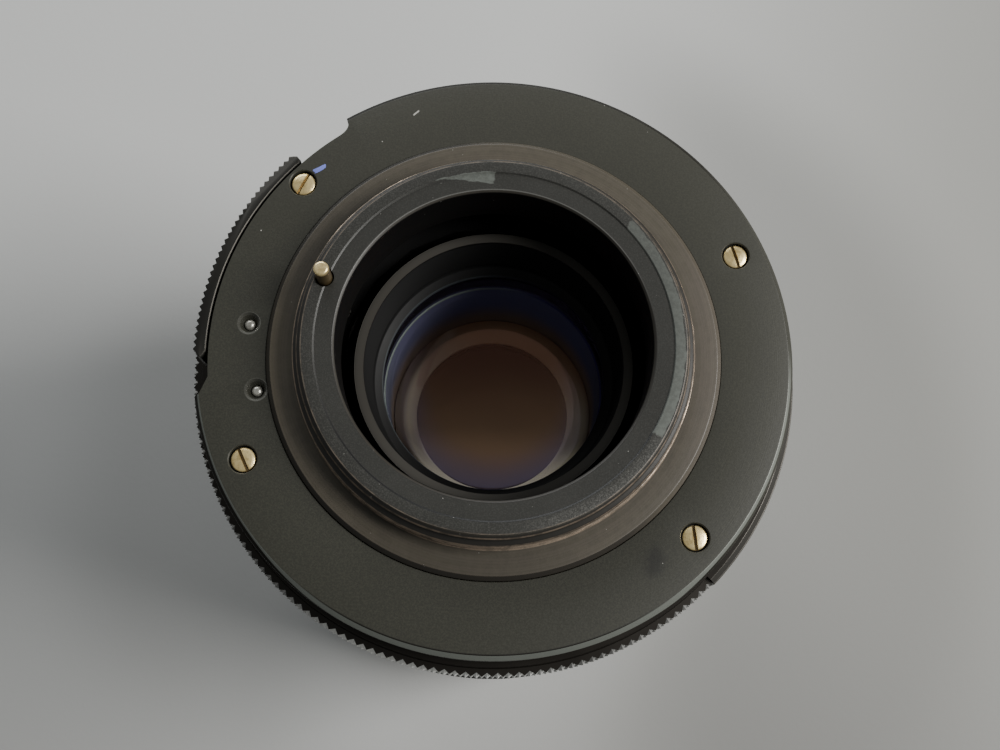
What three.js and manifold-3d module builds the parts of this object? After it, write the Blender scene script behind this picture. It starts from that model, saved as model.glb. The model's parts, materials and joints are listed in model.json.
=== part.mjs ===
// A short telephoto camera lens with a 42 mm screw mount, standing on its front rim.
// Millimetres. The origin is the centre of the front rim, +Z points out of the rear mount,
// and angles run counter-clockwise from +X as seen from the mount.
import * as THREE from 'three';
import { mergeVertices } from 'three/addons/utils/BufferGeometryUtils.js';
import Module from 'manifold-3d';

const wasm = await Module();
wasm.setup();

// ---------------------------------------------------------------- driving dimensions

const PLATE_Z = 84;            // rear face of the cover plate, above the front rim
const ROUND = 36;              // facets of the large outer rings
const FINE = 20;               // facets of the inner rings and lenses
const SMALL = 8;               // facets of screws and pins
const GAP = 0.05;              // space left between two parts that rest on each other
const PAST = 1;                // how far a cutting tool reaches past the face it cuts

const MOUNT = {
  threadR: 20.95, threadTop: PLATE_Z + 4.3, chamfer: 1.1, boreR: 16.38, boreChamfer: 0.35,
  shoulderR: 23.85, seatZ: PLATE_Z + 0.65, seatInnerR: 21.15, reliefR: 20.2, reliefH: 0.5, reliefSink: 0.1,
  flangeR: 26.1, flangeTop: PLATE_Z - 2.9, flangeBottom: PLATE_Z - 4.6,
  throatEnd: PLATE_Z - 2, hollowR: 21.4,
};

const COVER = {
  outerR: 31.85, innerR: 24.1, bevel: 0.6, thick: 2.5, skirtInnerR: 30.5, skirtZ: PLATE_Z - 6.6,
  notchR: 30.2, notchFrom: 123.4, notchTo: 189.4,
};

const COVER_SCREW = {
  ringR: 28.4, headR: 1.3, counterR: 1.45, counterDepth: 0.9, headH: 0.75, shankR: 0.7, holeR: 0.95,
  length: 4.2, slotW: 0.36, slotDepth: 0.35,
  angles: [24.6, 139.7, 206.2, 318.4],
  slotAngles: [108, 65, 117, 98],
};

const DIMPLE = {
  holeR: 1.15, pinR: 0.6, pinTop: PLATE_Z - 0.35, depth: 2.2,
  places: [[26.25, 175.4], [25.29, 191.7]],
};

const SLIDER = {
  from: 136.3, to: 183.5, innerR: 30.45, outerR: 31.9, topZ: PLATE_Z - 0.1, bottomZ: PLATE_Z - 6.3,
  footFrom: 154, footTo: 178, footInnerR: 27.6, footTop: PLATE_Z - 3, footBottom: PLATE_Z - 5.4,
};

const BARREL = {
  innerR: 25.4, seatR: 30.2, neckR: 27.2, neckFrom: 38, seatFrom: 60, seatTop: PLATE_Z - 5.8,
  collarR: 27.0, collarTop: PLATE_Z - 4.9, ledgeR: 24.2, ledgeFrom: 73, ledgeTop: 74.2,
  postR: 2.0, postTop: PLATE_Z - 2.8,
};

const APERTURE_RING = {
  boreR: 30.4, lipR: 32.4, bandR: 32.9, gripR: 33.37, scaleR: 33.64,
  topZ: PLATE_Z - 6.9, gripTop: PLATE_Z - 7.5, gripBottom: PLATE_Z - 12.6, bottomZ: PLATE_Z - 16.9,
  skirtR: 32.6, scaleFrom: -43, scaleTo: 12, detents: 7, detentPitch: 8, detentR: 0.5, detentEnd: 1.0,
};

const SCALE_ANGLE = -15.5;     // middle of the aperture scale, where the index line points
const KEY_ANGLES = [75, 255];
const PRESET_ANGLE = 250;
const GRUB_ANGLES = [40, 160, 280];
const CLICK = {
  z: 70.2, ballR: 0.8, ballProud: 0.1, holeR: 0.95, holeFrom: 26.6,
  springFrom: 26.8, springTo: 28.6, springR: 0.55,
};

const INDEX_RING = { innerR: 30.5, outerR: 31.9, from: 59.9, to: 66.8, bevel: 0.4 };

const FOCUS = {
  outerR: 33.9, scaleR: 33.1, skirtR: 33.4, innerR: 31.1, top: 59.6, bottom: 10.4,
  gripFrom: 19, gripTo: 41, gripDepth: 1.4,
  grubZ: 46, grubR: 0.9, screwR: 0.75, screwFrom: 31.2, screwTo: 32.8,
};

const GRIP = {
  innerR: FOCUS.outerR - FOCUS.gripDepth + 0.15,
  from: FOCUS.gripFrom + 0.2,
  to: FOCUS.gripTo - 0.2,
};

const HELICOID = { innerR: 27.5, outerR: 30.8, from: 22.2, to: 59.3 };

const TUBE = {
  innerR: 22.8, outerR: 25.0, threadR: 27.2, from: 25.4, threadTo: 37.6, to: 57,
  grooveW: 3.8, grooveR: 23.6,
};

const KEY = { width: 3.0, from: 40.3, to: 48.3, innerR: 24.0, outerR: 26.9, window: 0.4 };

const FRONT = {
  rimR: 31.9, bodyR: 30.6, top: 21.6, rimTop: 9.8, bevel: 0.5, filterR: 27.5, filterTo: 5.4, innerR: 28.0,
};

const NAME_RING = { outerR: 27.7, innerR: 24.3, from: 5.8, to: 7.4 };
const FRONT_CELL = { outerR: 27.0, innerR: 24.7, from: 7.7, to: 25.0, lipR: 20.6, lipFrom: 22.6 };
const SPACER = { outerR: 24.4, innerR: 22.6, from: 14.9, to: 16.3 };
const INNER_CELL = { outerR: 22.5, innerR: 19.0, from: 27.5, to: 44.4, lipR: 16.5, lipFrom: 36.5 };

const IRIS = {
  outerR: 22.5, wallR: 21.6, openR: 11.3, from: 44.8, floorTo: 46.2, wallTo: 51.6,
  blades: 6, bladeInnerR: 11.5, bladeOuterR: 18.2, bladeSpan: 105, bladeThick: 0.2, bladePitch: 0.35,
  bladeZ: 46.45, pivotR: 19.7, pivotAngle: 3, pegR: 0.45, pegHoleR: 0.65, lobeR: 1.15,
  drivePeg: [19.0, -4.1], drivePegOpen: [19.94, -4.35],
};

const CAM_RING = {
  innerR: 13.6, outerR: 21.3, from: 49.3, to: 50.5, turn: 10.5,
  postRingR: 20.5, postR: 0.7, postTop: 72.6, slotR: 0.7,
};

const REAR_CELL = {
  flangeR: 22.5, flangeFrom: 52.0, flangeTo: 53.4, tubeR: 15.46, boreR: 14.4, top: PLATE_Z - 5.5,
  lipR: 12.9, lipFrom: 65.2, lipTo: 66.4, slotInnerR: 18.7, slotOuterR: 21.3,
};

// Each face is [height on the axis, height at the rim].
const ELEMENTS = {
  front_element: { radius: 24.3, front: [8.0, 12.4], rear: [14.6, 14.2] },
  second_element: { radius: 24.3, front: [17.4, 16.7], rear: [20.4, 21.8] },
  third_element: { radius: 18.7, front: [28.4, 31.6], rear: [34.6, 35.9] },
  rear_element: { radius: 14.1, front: [67.6, 66.7], rear: [70.3, 68.8] },
};

const REAR_RETAINER = { outerR: 14.1, innerR: 12.8, from: 70.6, to: 72.0 };

// The pale ring that limits the light behind the iris, seen through the rear element.
const STOP_RING = { innerR: 10.1, outerR: 12.8, from: 52.0, to: 53.4, bevel: 0.9 };

const PLATE = { innerR: 17.3, outerR: 25.1, from: 74.5, to: 75.8 };

const PIN = {
  ringR: 18.88, angle: 161.1, radius: 0.8, holeR: 1.0, top: PLATE_Z + 7.1, foot: 72.9,
  collarR: 1.6, collarFrom: 79.9, collarTo: 80.7, guideR: 1.0,
};

const SPRING = { coilR: 1.28, wireR: 0.16, from: 76.0, to: 79.7, turns: 5 };

const LEVER = {
  pivotOffset: 7.6, pivotZ: 71.2, halfWidth: 1.3, innerR: 17.3, outerR: 19.4, footZ: 60.2,
  pivotPinR: 0.6, earInnerR: 19.7, earOuterR: 20.9, armThick: 1.4, armOverhang: 1.2, tipGap: 0.25,
};

const PRESET = {
  innerR: 23.4, outerR: 25.1, from: 67.6, to: 71.0, swing: 34, slotR: 1.15,
  screwR: 0.8, screwHoleR: 1.0, screwZ: 69.3, screwFrom: 24.0, screwTo: 31.6, screwEnd: 0.2,
};

const degrees = Math.PI / 180;

// ---------------------------------------------------------------- geometry helpers

function signedVolume(positions, index) {
  const [a, b, c] = [new THREE.Vector3(), new THREE.Vector3(), new THREE.Vector3()];
  let total = 0;
  for (let i = 0; i < index.length; i += 3) {
    a.fromArray(positions, index[i] * 3);
    b.fromArray(positions, index[i + 1] * 3);
    c.fromArray(positions, index[i + 2] * 3);
    total += a.dot(b.cross(c)) / 6;
  }
  return total;
}

// Shares the vertices of a geometry, drops its collapsed triangles and turns its faces outwards.
function solid(geometry) {
  const bare = geometry.index ? geometry.toNonIndexed() : geometry.clone();
  bare.deleteAttribute('normal');
  bare.deleteAttribute('uv');
  const merged = mergeVertices(bare, 1e-4);
  const source = merged.index.array;
  const index = [];
  for (let i = 0; i < source.length; i += 3) {
    const [a, b, c] = [source[i], source[i + 1], source[i + 2]];
    if (a !== b && b !== c && c !== a) index.push(a, b, c);
  }
  if (signedVolume(merged.attributes.position.array, index) < 0) index.reverse();
  merged.setIndex(index);
  return merged;
}

function toManifold(geometry) {
  const closed = solid(geometry);
  return new wasm.Manifold(new wasm.Mesh({
    numProp: 3,
    vertProperties: new Float32Array(closed.attributes.position.array),
    triVerts: new Uint32Array(closed.index.array),
  }));
}

function fromManifold(body) {
  const mesh = body.getMesh();
  const geometry = new THREE.BufferGeometry();
  geometry.setAttribute('position', new THREE.BufferAttribute(new Float32Array(mesh.vertProperties), 3));
  geometry.setIndex(Array.from(mesh.triVerts));
  return geometry;
}

function cut(geometry, ...tools) {
  return fromManifold(tools.reduce((body, tool) => body.subtract(toManifold(tool)), toManifold(geometry)));
}

function join(geometry, ...others) {
  return fromManifold(others.reduce((body, other) => body.add(toManifold(other)), toManifold(geometry)));
}

// A turned piece from its [radius, height] outline. An outline off the axis is closed on itself.
function turned(outline, facets = FINE) {
  const points = outline.map(([r, z]) => new THREE.Vector2(r, z));
  const onAxis = outline[0][0] === 0 && outline[outline.length - 1][0] === 0;
  if (!onAxis) points.push(points[0].clone());
  return new THREE.LatheGeometry(points, facets).rotateX(Math.PI / 2);
}

function tube(innerR, outerR, from, to, facets = FINE) {
  return turned([[innerR, from], [outerR, from], [outerR, to], [innerR, to]], facets);
}

function polar(r, angle, z = 0) {
  return new THREE.Vector3(r * Math.cos(angle * degrees), r * Math.sin(angle * degrees), z);
}

function rod(radius, from, to, facets = SMALL) {
  return new THREE.CylinderGeometry(radius, radius, to - from, facets)
    .rotateX(Math.PI / 2)
    .translate(0, 0, (from + to) / 2);
}

function rodAt(ringR, angle, radius, from, to, facets = SMALL) {
  const place = polar(ringR, angle);
  return rod(radius, from, to, facets).translate(place.x, place.y, 0);
}

// A rod lying along a radius of the lens, from one radius to another.
function radialRod(radius, fromR, toR, angle, z, facets = SMALL) {
  return rod(radius, fromR, toR, facets)
    .rotateY(Math.PI / 2)
    .rotateZ(angle * degrees)
    .translate(0, 0, z);
}

// A block of an annulus between two radii, two angles and two heights.
function sector(innerR, outerR, fromAngle, toAngle, from, to, steps = 16) {
  const shape = new THREE.Shape();
  shape.absarc(0, 0, outerR, fromAngle * degrees, toAngle * degrees, false);
  shape.absarc(0, 0, innerR, toAngle * degrees, fromAngle * degrees, true);
  shape.closePath();
  return new THREE.ExtrudeGeometry(shape, { depth: to - from, bevelEnabled: false, curveSegments: steps })
    .translate(0, 0, from);
}

function box(width, depth, height, centre) {
  return new THREE.BoxGeometry(width, depth, height).translate(centre.x, centre.y, centre.z);
}

// Heights along a spherical surface from the axis to the rim, as [radius, height] points.
function sphericalFace(radius, axisZ, rimZ, steps = 3) {
  const sag = Math.abs(rimZ - axisZ);
  const curve = (radius * radius + sag * sag) / (2 * sag);
  const side = Math.sign(rimZ - axisZ);
  return Array.from({ length: steps + 1 }, (_, i) => {
    const r = (radius * i) / steps;
    return [r, axisZ + side * (curve - Math.sqrt(curve * curve - r * r))];
  });
}

function element({ radius, front, rear }) {
  const lower = sphericalFace(radius, front[0], front[1]);
  const upper = sphericalFace(radius, rear[0], rear[1]).reverse();
  return turned([...lower, ...upper]);
}

// ---------------------------------------------------------------- materials

function metal(color, roughness) {
  return new THREE.MeshStandardMaterial({ color, roughness, metalness: 0.8 });
}

const MATERIALS = {
  plateBlack: metal(0x3b3b38, 0.42),
  ringBlack: metal(0x2b2b2a, 0.38),
  mountBronze: metal(0x4a4039, 0.4),
  glossBlack: metal(0x141414, 0.25),
  innerBlack: metal(0x1a1a1a, 0.7),
  screwBrass: metal(0xcfc19a, 0.3),
  brass: metal(0xb08d4f, 0.35),
  steel: metal(0xa8a8a6, 0.3),
  rubber: new THREE.MeshStandardMaterial({ color: 0x1c1c1c, roughness: 0.9, metalness: 0 }),
  glass: new THREE.MeshStandardMaterial({
    color: 0x6a5a78, roughness: 0.05, metalness: 0, transparent: true, opacity: 0.4,
  }),
};

const lens = new THREE.Group();

function add(name, geometry, material) {
  const mesh = new THREE.Mesh(solid(geometry), MATERIALS[material]);
  mesh.name = name;
  lens.add(mesh);
}

// ---------------------------------------------------------------- rear mount

function mountRing() {
  const m = MOUNT;
  const body = turned([
    [m.hollowR, m.flangeBottom],
    [m.flangeR, m.flangeBottom],
    [m.flangeR, m.flangeTop],
    [m.shoulderR, m.flangeTop],
    [m.shoulderR, m.seatZ],
    [m.seatInnerR, m.seatZ],
    [m.seatInnerR, m.seatZ - m.reliefSink],
    [m.reliefR, m.seatZ - m.reliefSink],
    [m.reliefR, m.seatZ + m.reliefH],
    [m.threadR, m.seatZ + m.reliefH],
    [m.threadR, m.threadTop - m.chamfer],
    [m.threadR - m.chamfer, m.threadTop],
    [m.boreR + m.boreChamfer, m.threadTop],
    [m.boreR, m.threadTop - m.boreChamfer],
    [m.boreR, m.throatEnd],
    [m.hollowR, m.throatEnd],
  ], ROUND);
  return cut(body, rodAt(PIN.ringR, PIN.angle, PIN.holeR, m.throatEnd - PAST, m.threadTop + PAST));
}

function rearCover() {
  const c = COVER;
  const under = PLATE_Z - c.thick;
  const body = turned([
    [c.innerR, under],
    [c.skirtInnerR, under],
    [c.skirtInnerR, c.skirtZ],
    [c.outerR, c.skirtZ],
    [c.outerR, PLATE_Z - c.bevel],
    [c.outerR - c.bevel, PLATE_Z],
    [c.innerR, PLATE_Z],
  ], ROUND);
  const notch = sector(c.notchR, c.outerR + PAST, c.notchFrom, c.notchTo, c.skirtZ - PAST, PLATE_Z + PAST);
  const holes = COVER_SCREW.angles.flatMap((angle) => [
    rodAt(COVER_SCREW.ringR, angle, COVER_SCREW.holeR, under - PAST, PLATE_Z + PAST),
    rodAt(COVER_SCREW.ringR, angle, COVER_SCREW.counterR, PLATE_Z - COVER_SCREW.counterDepth, PLATE_Z + PAST),
  ]);
  const dimples = DIMPLE.places.map(([r, angle]) => (
    rodAt(r, angle, DIMPLE.holeR, PLATE_Z - DIMPLE.depth, PLATE_Z + PAST)
  ));
  return cut(body, notch, ...holes, ...dimples);
}

// A cheese-head screw with a straight slot, its head just below the plate's face.
function coverScrew(slotAngle) {
  const s = COVER_SCREW;
  const seat = PLATE_Z - s.counterDepth + GAP;
  const body = turned([
    [0, seat + s.headH - s.length],
    [s.shankR, seat + s.headH - s.length],
    [s.shankR, seat],
    [s.headR, seat],
    [s.headR, seat + s.headH - 0.15],
    [s.headR * 0.6, seat + s.headH],
    [0, seat + s.headH + 0.04],
  ], SMALL);
  const slot = new THREE.BoxGeometry(s.headR * 3, s.slotW, s.slotDepth * 2)
    .rotateZ(slotAngle * degrees)
    .translate(0, 0, seat + s.headH);
  return cut(body, slot);
}

function autoManualSlider() {
  const s = SLIDER;
  const tab = sector(s.innerR, s.outerR, s.from, s.to, s.bottomZ, s.topZ, 20);
  const foot = sector(s.footInnerR, s.outerR - 0.4, s.footFrom, s.footTo, s.footBottom, s.footTop, 8);
  return join(tab, foot);
}

add('mount_ring', mountRing(), 'mountBronze');
add('rear_cover', rearCover(), 'plateBlack');
COVER_SCREW.angles.forEach((angle, i) => {
  const place = polar(COVER_SCREW.ringR, angle);
  const screw = coverScrew(COVER_SCREW.slotAngles[i]).translate(place.x, place.y, 0);
  add(`cover_screw_${i + 1}`, screw, 'screwBrass');
});
DIMPLE.places.forEach(([r, angle], i) => {
  const bottom = PLATE_Z - DIMPLE.depth + GAP;
  add(`cover_rivet_${i + 1}`, rodAt(r, angle, DIMPLE.pinR, bottom, DIMPLE.pinTop), 'steel');
});
add('auto_manual_slider', autoManualSlider(), 'glossBlack');

// ---------------------------------------------------------------- fixed barrel

function mainBarrel() {
  const b = BARREL;
  const body = turned([
    [b.innerR, b.neckFrom],
    [b.neckR, b.neckFrom],
    [b.neckR, b.seatFrom],
    [b.seatR, b.seatFrom],
    [b.seatR, b.seatTop],
    [b.collarR, b.seatTop],
    [b.collarR, b.collarTop],
    [b.innerR, b.collarTop],
    [b.innerR, b.ledgeTop],
    [b.ledgeR, b.ledgeTop],
    [b.ledgeR, b.ledgeFrom],
    [b.innerR, b.ledgeFrom],
  ], ROUND);
  const posts = COVER_SCREW.angles.map((angle) => (
    rodAt(COVER_SCREW.ringR, angle, b.postR, b.seatTop - PAST, b.postTop)
  ));
  const screwHoles = COVER_SCREW.angles.map((angle) => (
    rodAt(COVER_SCREW.ringR, angle, COVER_SCREW.holeR, PLATE_Z - COVER_SCREW.length - PAST, PLATE_Z)
  ));
  const keyWindows = KEY_ANGLES.map((angle) => {
    const window = box(
      BARREL.neckR,
      KEY.width + 2 * KEY.window,
      KEY.to - KEY.from + 2 * KEY.window,
      new THREE.Vector3(BARREL.neckR, 0, (KEY.from + KEY.to) / 2),
    );
    return window.rotateZ(angle * degrees);
  });
  const presetSlot = sector(
    b.innerR - PAST, b.seatR + PAST,
    PRESET_ANGLE - PRESET.swing, PRESET_ANGLE + PRESET.swing,
    PRESET.screwZ - PRESET.slotR, PRESET.screwZ + PRESET.slotR,
  );
  const clickHole = radialRod(CLICK.holeR, CLICK.holeFrom, b.seatR + PAST, SCALE_ANGLE, CLICK.z);
  return cut(join(body, ...posts), ...screwHoles, ...keyWindows, presetSlot, clickHole);
}

add('main_barrel', mainBarrel(), 'innerBlack');
KEY_ANGLES.forEach((angle, i) => {
  const key = box(
    KEY.outerR - KEY.innerR,
    KEY.width,
    KEY.to - KEY.from,
    new THREE.Vector3((KEY.outerR + KEY.innerR) / 2, 0, (KEY.from + KEY.to) / 2),
  );
  add(`focus_key_${i + 1}`, key.rotateZ(angle * degrees), 'brass');
});

function indexRing() {
  const r = INDEX_RING;
  return turned([
    [r.innerR, r.from],
    [r.outerR, r.from],
    [r.outerR, r.to - r.bevel],
    [r.outerR - r.bevel, r.to],
    [r.innerR, r.to],
  ], ROUND);
}

add('index_ring', indexRing(), 'ringBlack');

const clickBall = new THREE.SphereGeometry(CLICK.ballR, 10, 8)
  .translate(BARREL.seatR + CLICK.ballProud - CLICK.ballR, 0, 0)
  .rotateZ(SCALE_ANGLE * degrees)
  .translate(0, 0, CLICK.z);
add('click_ball', clickBall, 'steel');
const clickSpring = radialRod(CLICK.springR, CLICK.springFrom, CLICK.springTo, SCALE_ANGLE, CLICK.z);
add('click_spring', clickSpring, 'steel');

// ---------------------------------------------------------------- aperture control

function presetRod(radius, fromR, toR) {
  return radialRod(radius, fromR, toR, PRESET_ANGLE, PRESET.screwZ);
}

function apertureRing() {
  const a = APERTURE_RING;
  const body = turned([
    [a.boreR, a.bottomZ],
    [a.skirtR, a.bottomZ],
    [a.skirtR, a.gripBottom],
    [a.gripR, a.gripBottom],
    [a.gripR, a.gripTop],
    [a.bandR, a.gripTop],
    [a.lipR, a.topZ],
    [a.boreR, a.topZ],
  ], ROUND);
  const scale = sector(a.skirtR - 0.6, a.scaleR, a.scaleFrom, a.scaleTo, a.bottomZ, a.topZ - 0.1, 10);
  const detents = Array.from({ length: a.detents }, (_, i) => {
    const angle = SCALE_ANGLE + (i - (a.detents - 1) / 2) * a.detentPitch;
    return rodAt(a.boreR, angle, a.detentR, a.bottomZ + a.detentEnd, a.topZ - a.detentEnd);
  });
  const screwHole = presetRod(PRESET.screwHoleR, a.boreR - PAST, PRESET.screwTo + PRESET.screwEnd);
  return cut(join(body, scale), ...detents, screwHole);
}

add('aperture_ring', apertureRing(), 'ringBlack');
const presetTube = tube(PRESET.innerR, PRESET.outerR, PRESET.from, PRESET.to);
const presetHole = presetRod(PRESET.screwHoleR, PRESET.screwFrom - PRESET.screwEnd, PRESET.outerR + PAST);
add('preset_ring', cut(presetTube, presetHole), 'brass');
add('preset_screw', presetRod(PRESET.screwR, PRESET.screwFrom, PRESET.screwTo), 'steel');

// ---------------------------------------------------------------- diaphragm drive

const pinPlace = polar(PIN.ringR, PIN.angle);

function diaphragmPin() {
  const p = PIN;
  return turned([
    [0, p.foot],
    [p.radius * 0.8, p.foot],
    [p.radius, p.foot + 0.3],
    [p.radius, p.collarFrom],
    [p.collarR, p.collarFrom],
    [p.collarR, p.collarTo],
    [p.radius, p.collarTo],
    [p.radius, p.top - 0.45],
    [p.radius * 0.75, p.top - 0.15],
    [p.radius * 0.4, p.top - 0.03],
    [0, p.top],
  ], SMALL).translate(pinPlace.x, pinPlace.y, 0);
}

class Helix extends THREE.Curve {
  getPoint(t) {
    const angle = 2 * Math.PI * SPRING.turns * t;
    const rise = SPRING.to - SPRING.from - 2 * SPRING.wireR;
    return new THREE.Vector3(
      pinPlace.x + SPRING.coilR * Math.cos(angle),
      pinPlace.y + SPRING.coilR * Math.sin(angle),
      SPRING.from + SPRING.wireR + rise * t,
    );
  }
}

function pinSpring() {
  const wire = new THREE.Shape();
  wire.absarc(0, 0, SPRING.wireR, 0, 2 * Math.PI, false);
  return new THREE.ExtrudeGeometry(wire, { extrudePath: new Helix(), steps: 40, curveSegments: 3 });
}

// The plate inside the rear end that guides the pin's foot and carries the lever's ear.
function mechanismPlate() {
  const p = PLATE;
  const earBottom = LEVER.pivotZ - LEVER.halfWidth;
  const earTop = p.from + 0.5;
  const ear = box(
    LEVER.earOuterR - LEVER.earInnerR,
    2 * LEVER.halfWidth,
    earTop - earBottom,
    new THREE.Vector3((LEVER.earInnerR + LEVER.earOuterR) / 2, LEVER.pivotOffset, (earTop + earBottom) / 2),
  ).rotateZ(PIN.angle * degrees);
  const pivotHole = leverAxisRod(LEVER.pivotPinR + 2 * GAP, LEVER.earInnerR - PAST, LEVER.earOuterR + PAST);
  const body = join(tube(p.innerR, p.outerR, p.from, p.to), ear);
  return cut(body, rodAt(PIN.ringR, PIN.angle, PIN.guideR, p.from - PAST, p.to + PAST), pivotHole);
}

// A rod along the lever's pivot axis, which is parallel to the radius through the pin.
function leverAxisRod(radius, fromR, toR, facets = SMALL) {
  return rod(radius, fromR, toR, facets)
    .rotateY(Math.PI / 2)
    .translate(0, LEVER.pivotOffset, LEVER.pivotZ)
    .rotateZ(PIN.angle * degrees);
}

// A bell crank: one arm lies under the pin, the other hangs beside the cam ring's post.
function stopDownLever() {
  const l = LEVER;
  const width = l.outerR - l.innerR;
  const midR = (l.outerR + l.innerR) / 2;
  const reach = l.pivotOffset + l.armOverhang;
  const armZ = PIN.foot - l.tipGap - l.armThick / 2;
  const flatArm = box(width, reach, l.armThick, new THREE.Vector3(midR, l.pivotOffset - reach / 2, armZ))
    .rotateZ(PIN.angle * degrees);
  const drop = l.pivotZ - l.footZ;
  const hangingMiddle = new THREE.Vector3(midR, l.pivotOffset, l.pivotZ - drop / 2);
  const hangingArm = box(width, 2 * l.halfWidth, drop, hangingMiddle).rotateZ(PIN.angle * degrees);
  const boss = leverAxisRod(l.halfWidth, l.innerR, l.outerR);
  const hole = leverAxisRod(l.pivotPinR + 2 * GAP, l.innerR - PAST, l.outerR + PAST);
  return cut(join(flatArm, hangingArm, boss), hole);
}

add('diaphragm_pin', diaphragmPin(), 'steel');
add('pin_return_spring', pinSpring(), 'steel');
add('mechanism_plate', mechanismPlate(), 'brass');
add('stop_down_lever', stopDownLever(), 'steel');
add('lever_pivot_pin', leverAxisRod(LEVER.pivotPinR, LEVER.innerR - 0.2, LEVER.earOuterR), 'steel');

// ---------------------------------------------------------------- iris

function irisHousing() {
  const i = IRIS;
  const body = turned([
    [i.openR, i.from],
    [i.outerR, i.from],
    [i.outerR, i.wallTo],
    [i.wallR, i.wallTo],
    [i.wallR, i.floorTo],
    [i.openR, i.floorTo],
  ]);
  const pegHoles = bladeTurns().map((turn) => (
    rodAt(i.pivotR, i.pivotAngle + turn, i.pegHoleR, i.from - PAST, i.floorTo + PAST)
  ));
  return cut(body, ...pegHoles);
}

function bladeTurns() {
  return Array.from({ length: IRIS.blades }, (_, k) => (k * 360) / IRIS.blades);
}

// One leaf: a curved band with a pivot peg below it and a drive peg above it.
function irisBlade(k, turn) {
  const i = IRIS;
  const z = i.bladeZ + k * i.bladePitch;
  const band = sector(i.bladeInnerR, i.bladeOuterR, -2, i.bladeSpan, z, z + i.bladeThick, 7);
  const lobe = rodAt(i.pivotR, i.pivotAngle, i.lobeR, z, z + i.bladeThick, 8);
  const neck = sector(i.bladeOuterR - 1, i.pivotR + 0.4, -4.4, 6, z, z + i.bladeThick, 2);
  const tail = rodAt(i.drivePeg[0], i.drivePeg[1], 0.8, z, z + i.bladeThick, 6);
  const pivotPeg = rodAt(i.pivotR, i.pivotAngle, i.pegR, i.from + 0.3, z + 0.1, 6);
  const drivePeg = rodAt(i.drivePeg[0], i.drivePeg[1], i.pegR, z + 0.1, CAM_RING.to - 0.1, 6);
  return join(band, lobe, neck, tail, pivotPeg, drivePeg).rotateZ(turn * degrees);
}

// The ring whose slanted slots swing the leaves. Its tall post reaches up to the lever.
function irisCamRing() {
  const c = CAM_RING;
  const [shutR, shutAngle] = IRIS.drivePegOpen;
  const slots = bladeTurns().map((turn) => {
    const from = polar(IRIS.drivePeg[0], IRIS.drivePeg[1] + turn);
    const to = polar(shutR, shutAngle - c.turn + turn);
    const length = from.distanceTo(to);
    const heading = Math.atan2(to.y - from.y, to.x - from.x);
    const middle = from.clone().lerp(to, 0.5);
    const straight = new THREE.BoxGeometry(length, 2 * c.slotR, 4)
      .rotateZ(heading)
      .translate(middle.x, middle.y, c.from);
    const ends = [from, to].map((p) => rod(c.slotR, c.from - 2, c.from + 2, 8).translate(p.x, p.y, 0));
    return join(straight, ...ends);
  });
  const post = rodAt(c.postRingR, postAngle(), c.postR, c.to - 0.5, c.postTop, 8);
  return join(cut(tube(c.innerR, c.outerR, c.from, c.to), ...slots), post);
}

// The post stands just past the lever's hanging arm.
function postAngle() {
  const ahead = LEVER.pivotOffset + LEVER.halfWidth + CAM_RING.postR + 0.3;
  return PIN.angle + Math.asin(ahead / CAM_RING.postRingR) / degrees;
}

add('iris_housing', irisHousing(), 'innerBlack');
bladeTurns().forEach((turn, k) => add(`iris_blade_${k + 1}`, irisBlade(k, turn), 'innerBlack'));
add('iris_cam_ring', irisCamRing(), 'brass');

// ---------------------------------------------------------------- rear cell

function rearCell() {
  const c = REAR_CELL;
  const body = turned([
    [c.lipR, c.flangeFrom],
    [c.flangeR, c.flangeFrom],
    [c.flangeR, c.flangeTo],
    [c.tubeR, c.flangeTo],
    [c.tubeR, c.top],
    [c.boreR, c.top],
    [c.boreR, c.lipTo],
    [c.lipR, c.lipTo],
  ]);
  const from = postAngle() - 5;
  const to = postAngle() + CAM_RING.turn + 5;
  return cut(body, sector(c.slotInnerR, c.slotOuterR, from, to, c.flangeFrom - PAST, c.flangeTo + PAST, 6));
}

add('rear_cell', rearCell(), 'innerBlack');
const { innerR, outerR, from, to } = REAR_RETAINER;
add('rear_retainer', tube(innerR, outerR, from, to), 'innerBlack');

function stopRing() {
  const s = STOP_RING;
  return turned([
    [s.innerR, s.from],
    [s.outerR, s.from],
    [s.outerR, s.to],
    [s.innerR + s.bevel, s.to],
    [s.innerR, s.to - s.bevel],
  ]);
}

add('stop_ring', stopRing(), 'steel');

// ---------------------------------------------------------------- focusing

function focusRing() {
  const f = FOCUS;
  const body = turned([
    [f.innerR, f.bottom],
    [f.skirtR, f.bottom],
    [f.skirtR, f.gripFrom],
    [f.outerR - f.gripDepth, f.gripFrom],
    [f.outerR - f.gripDepth, f.gripTo],
    [f.scaleR, f.gripTo],
    [f.scaleR, f.top - 0.4],
    [f.scaleR - 0.4, f.top],
    [f.innerR, f.top],
  ], ROUND);
  const holes = GRUB_ANGLES.map((angle) => (
    radialRod(f.grubR, f.innerR - PAST, f.outerR + PAST, angle, f.grubZ)
  ));
  return cut(body, ...holes);
}

// The threaded outer face of the optical tube runs in this turning brass nut.
function focusHelicoid() {
  const h = HELICOID;
  return tube(h.innerR, h.outerR, h.from, h.to, ROUND);
}

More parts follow.
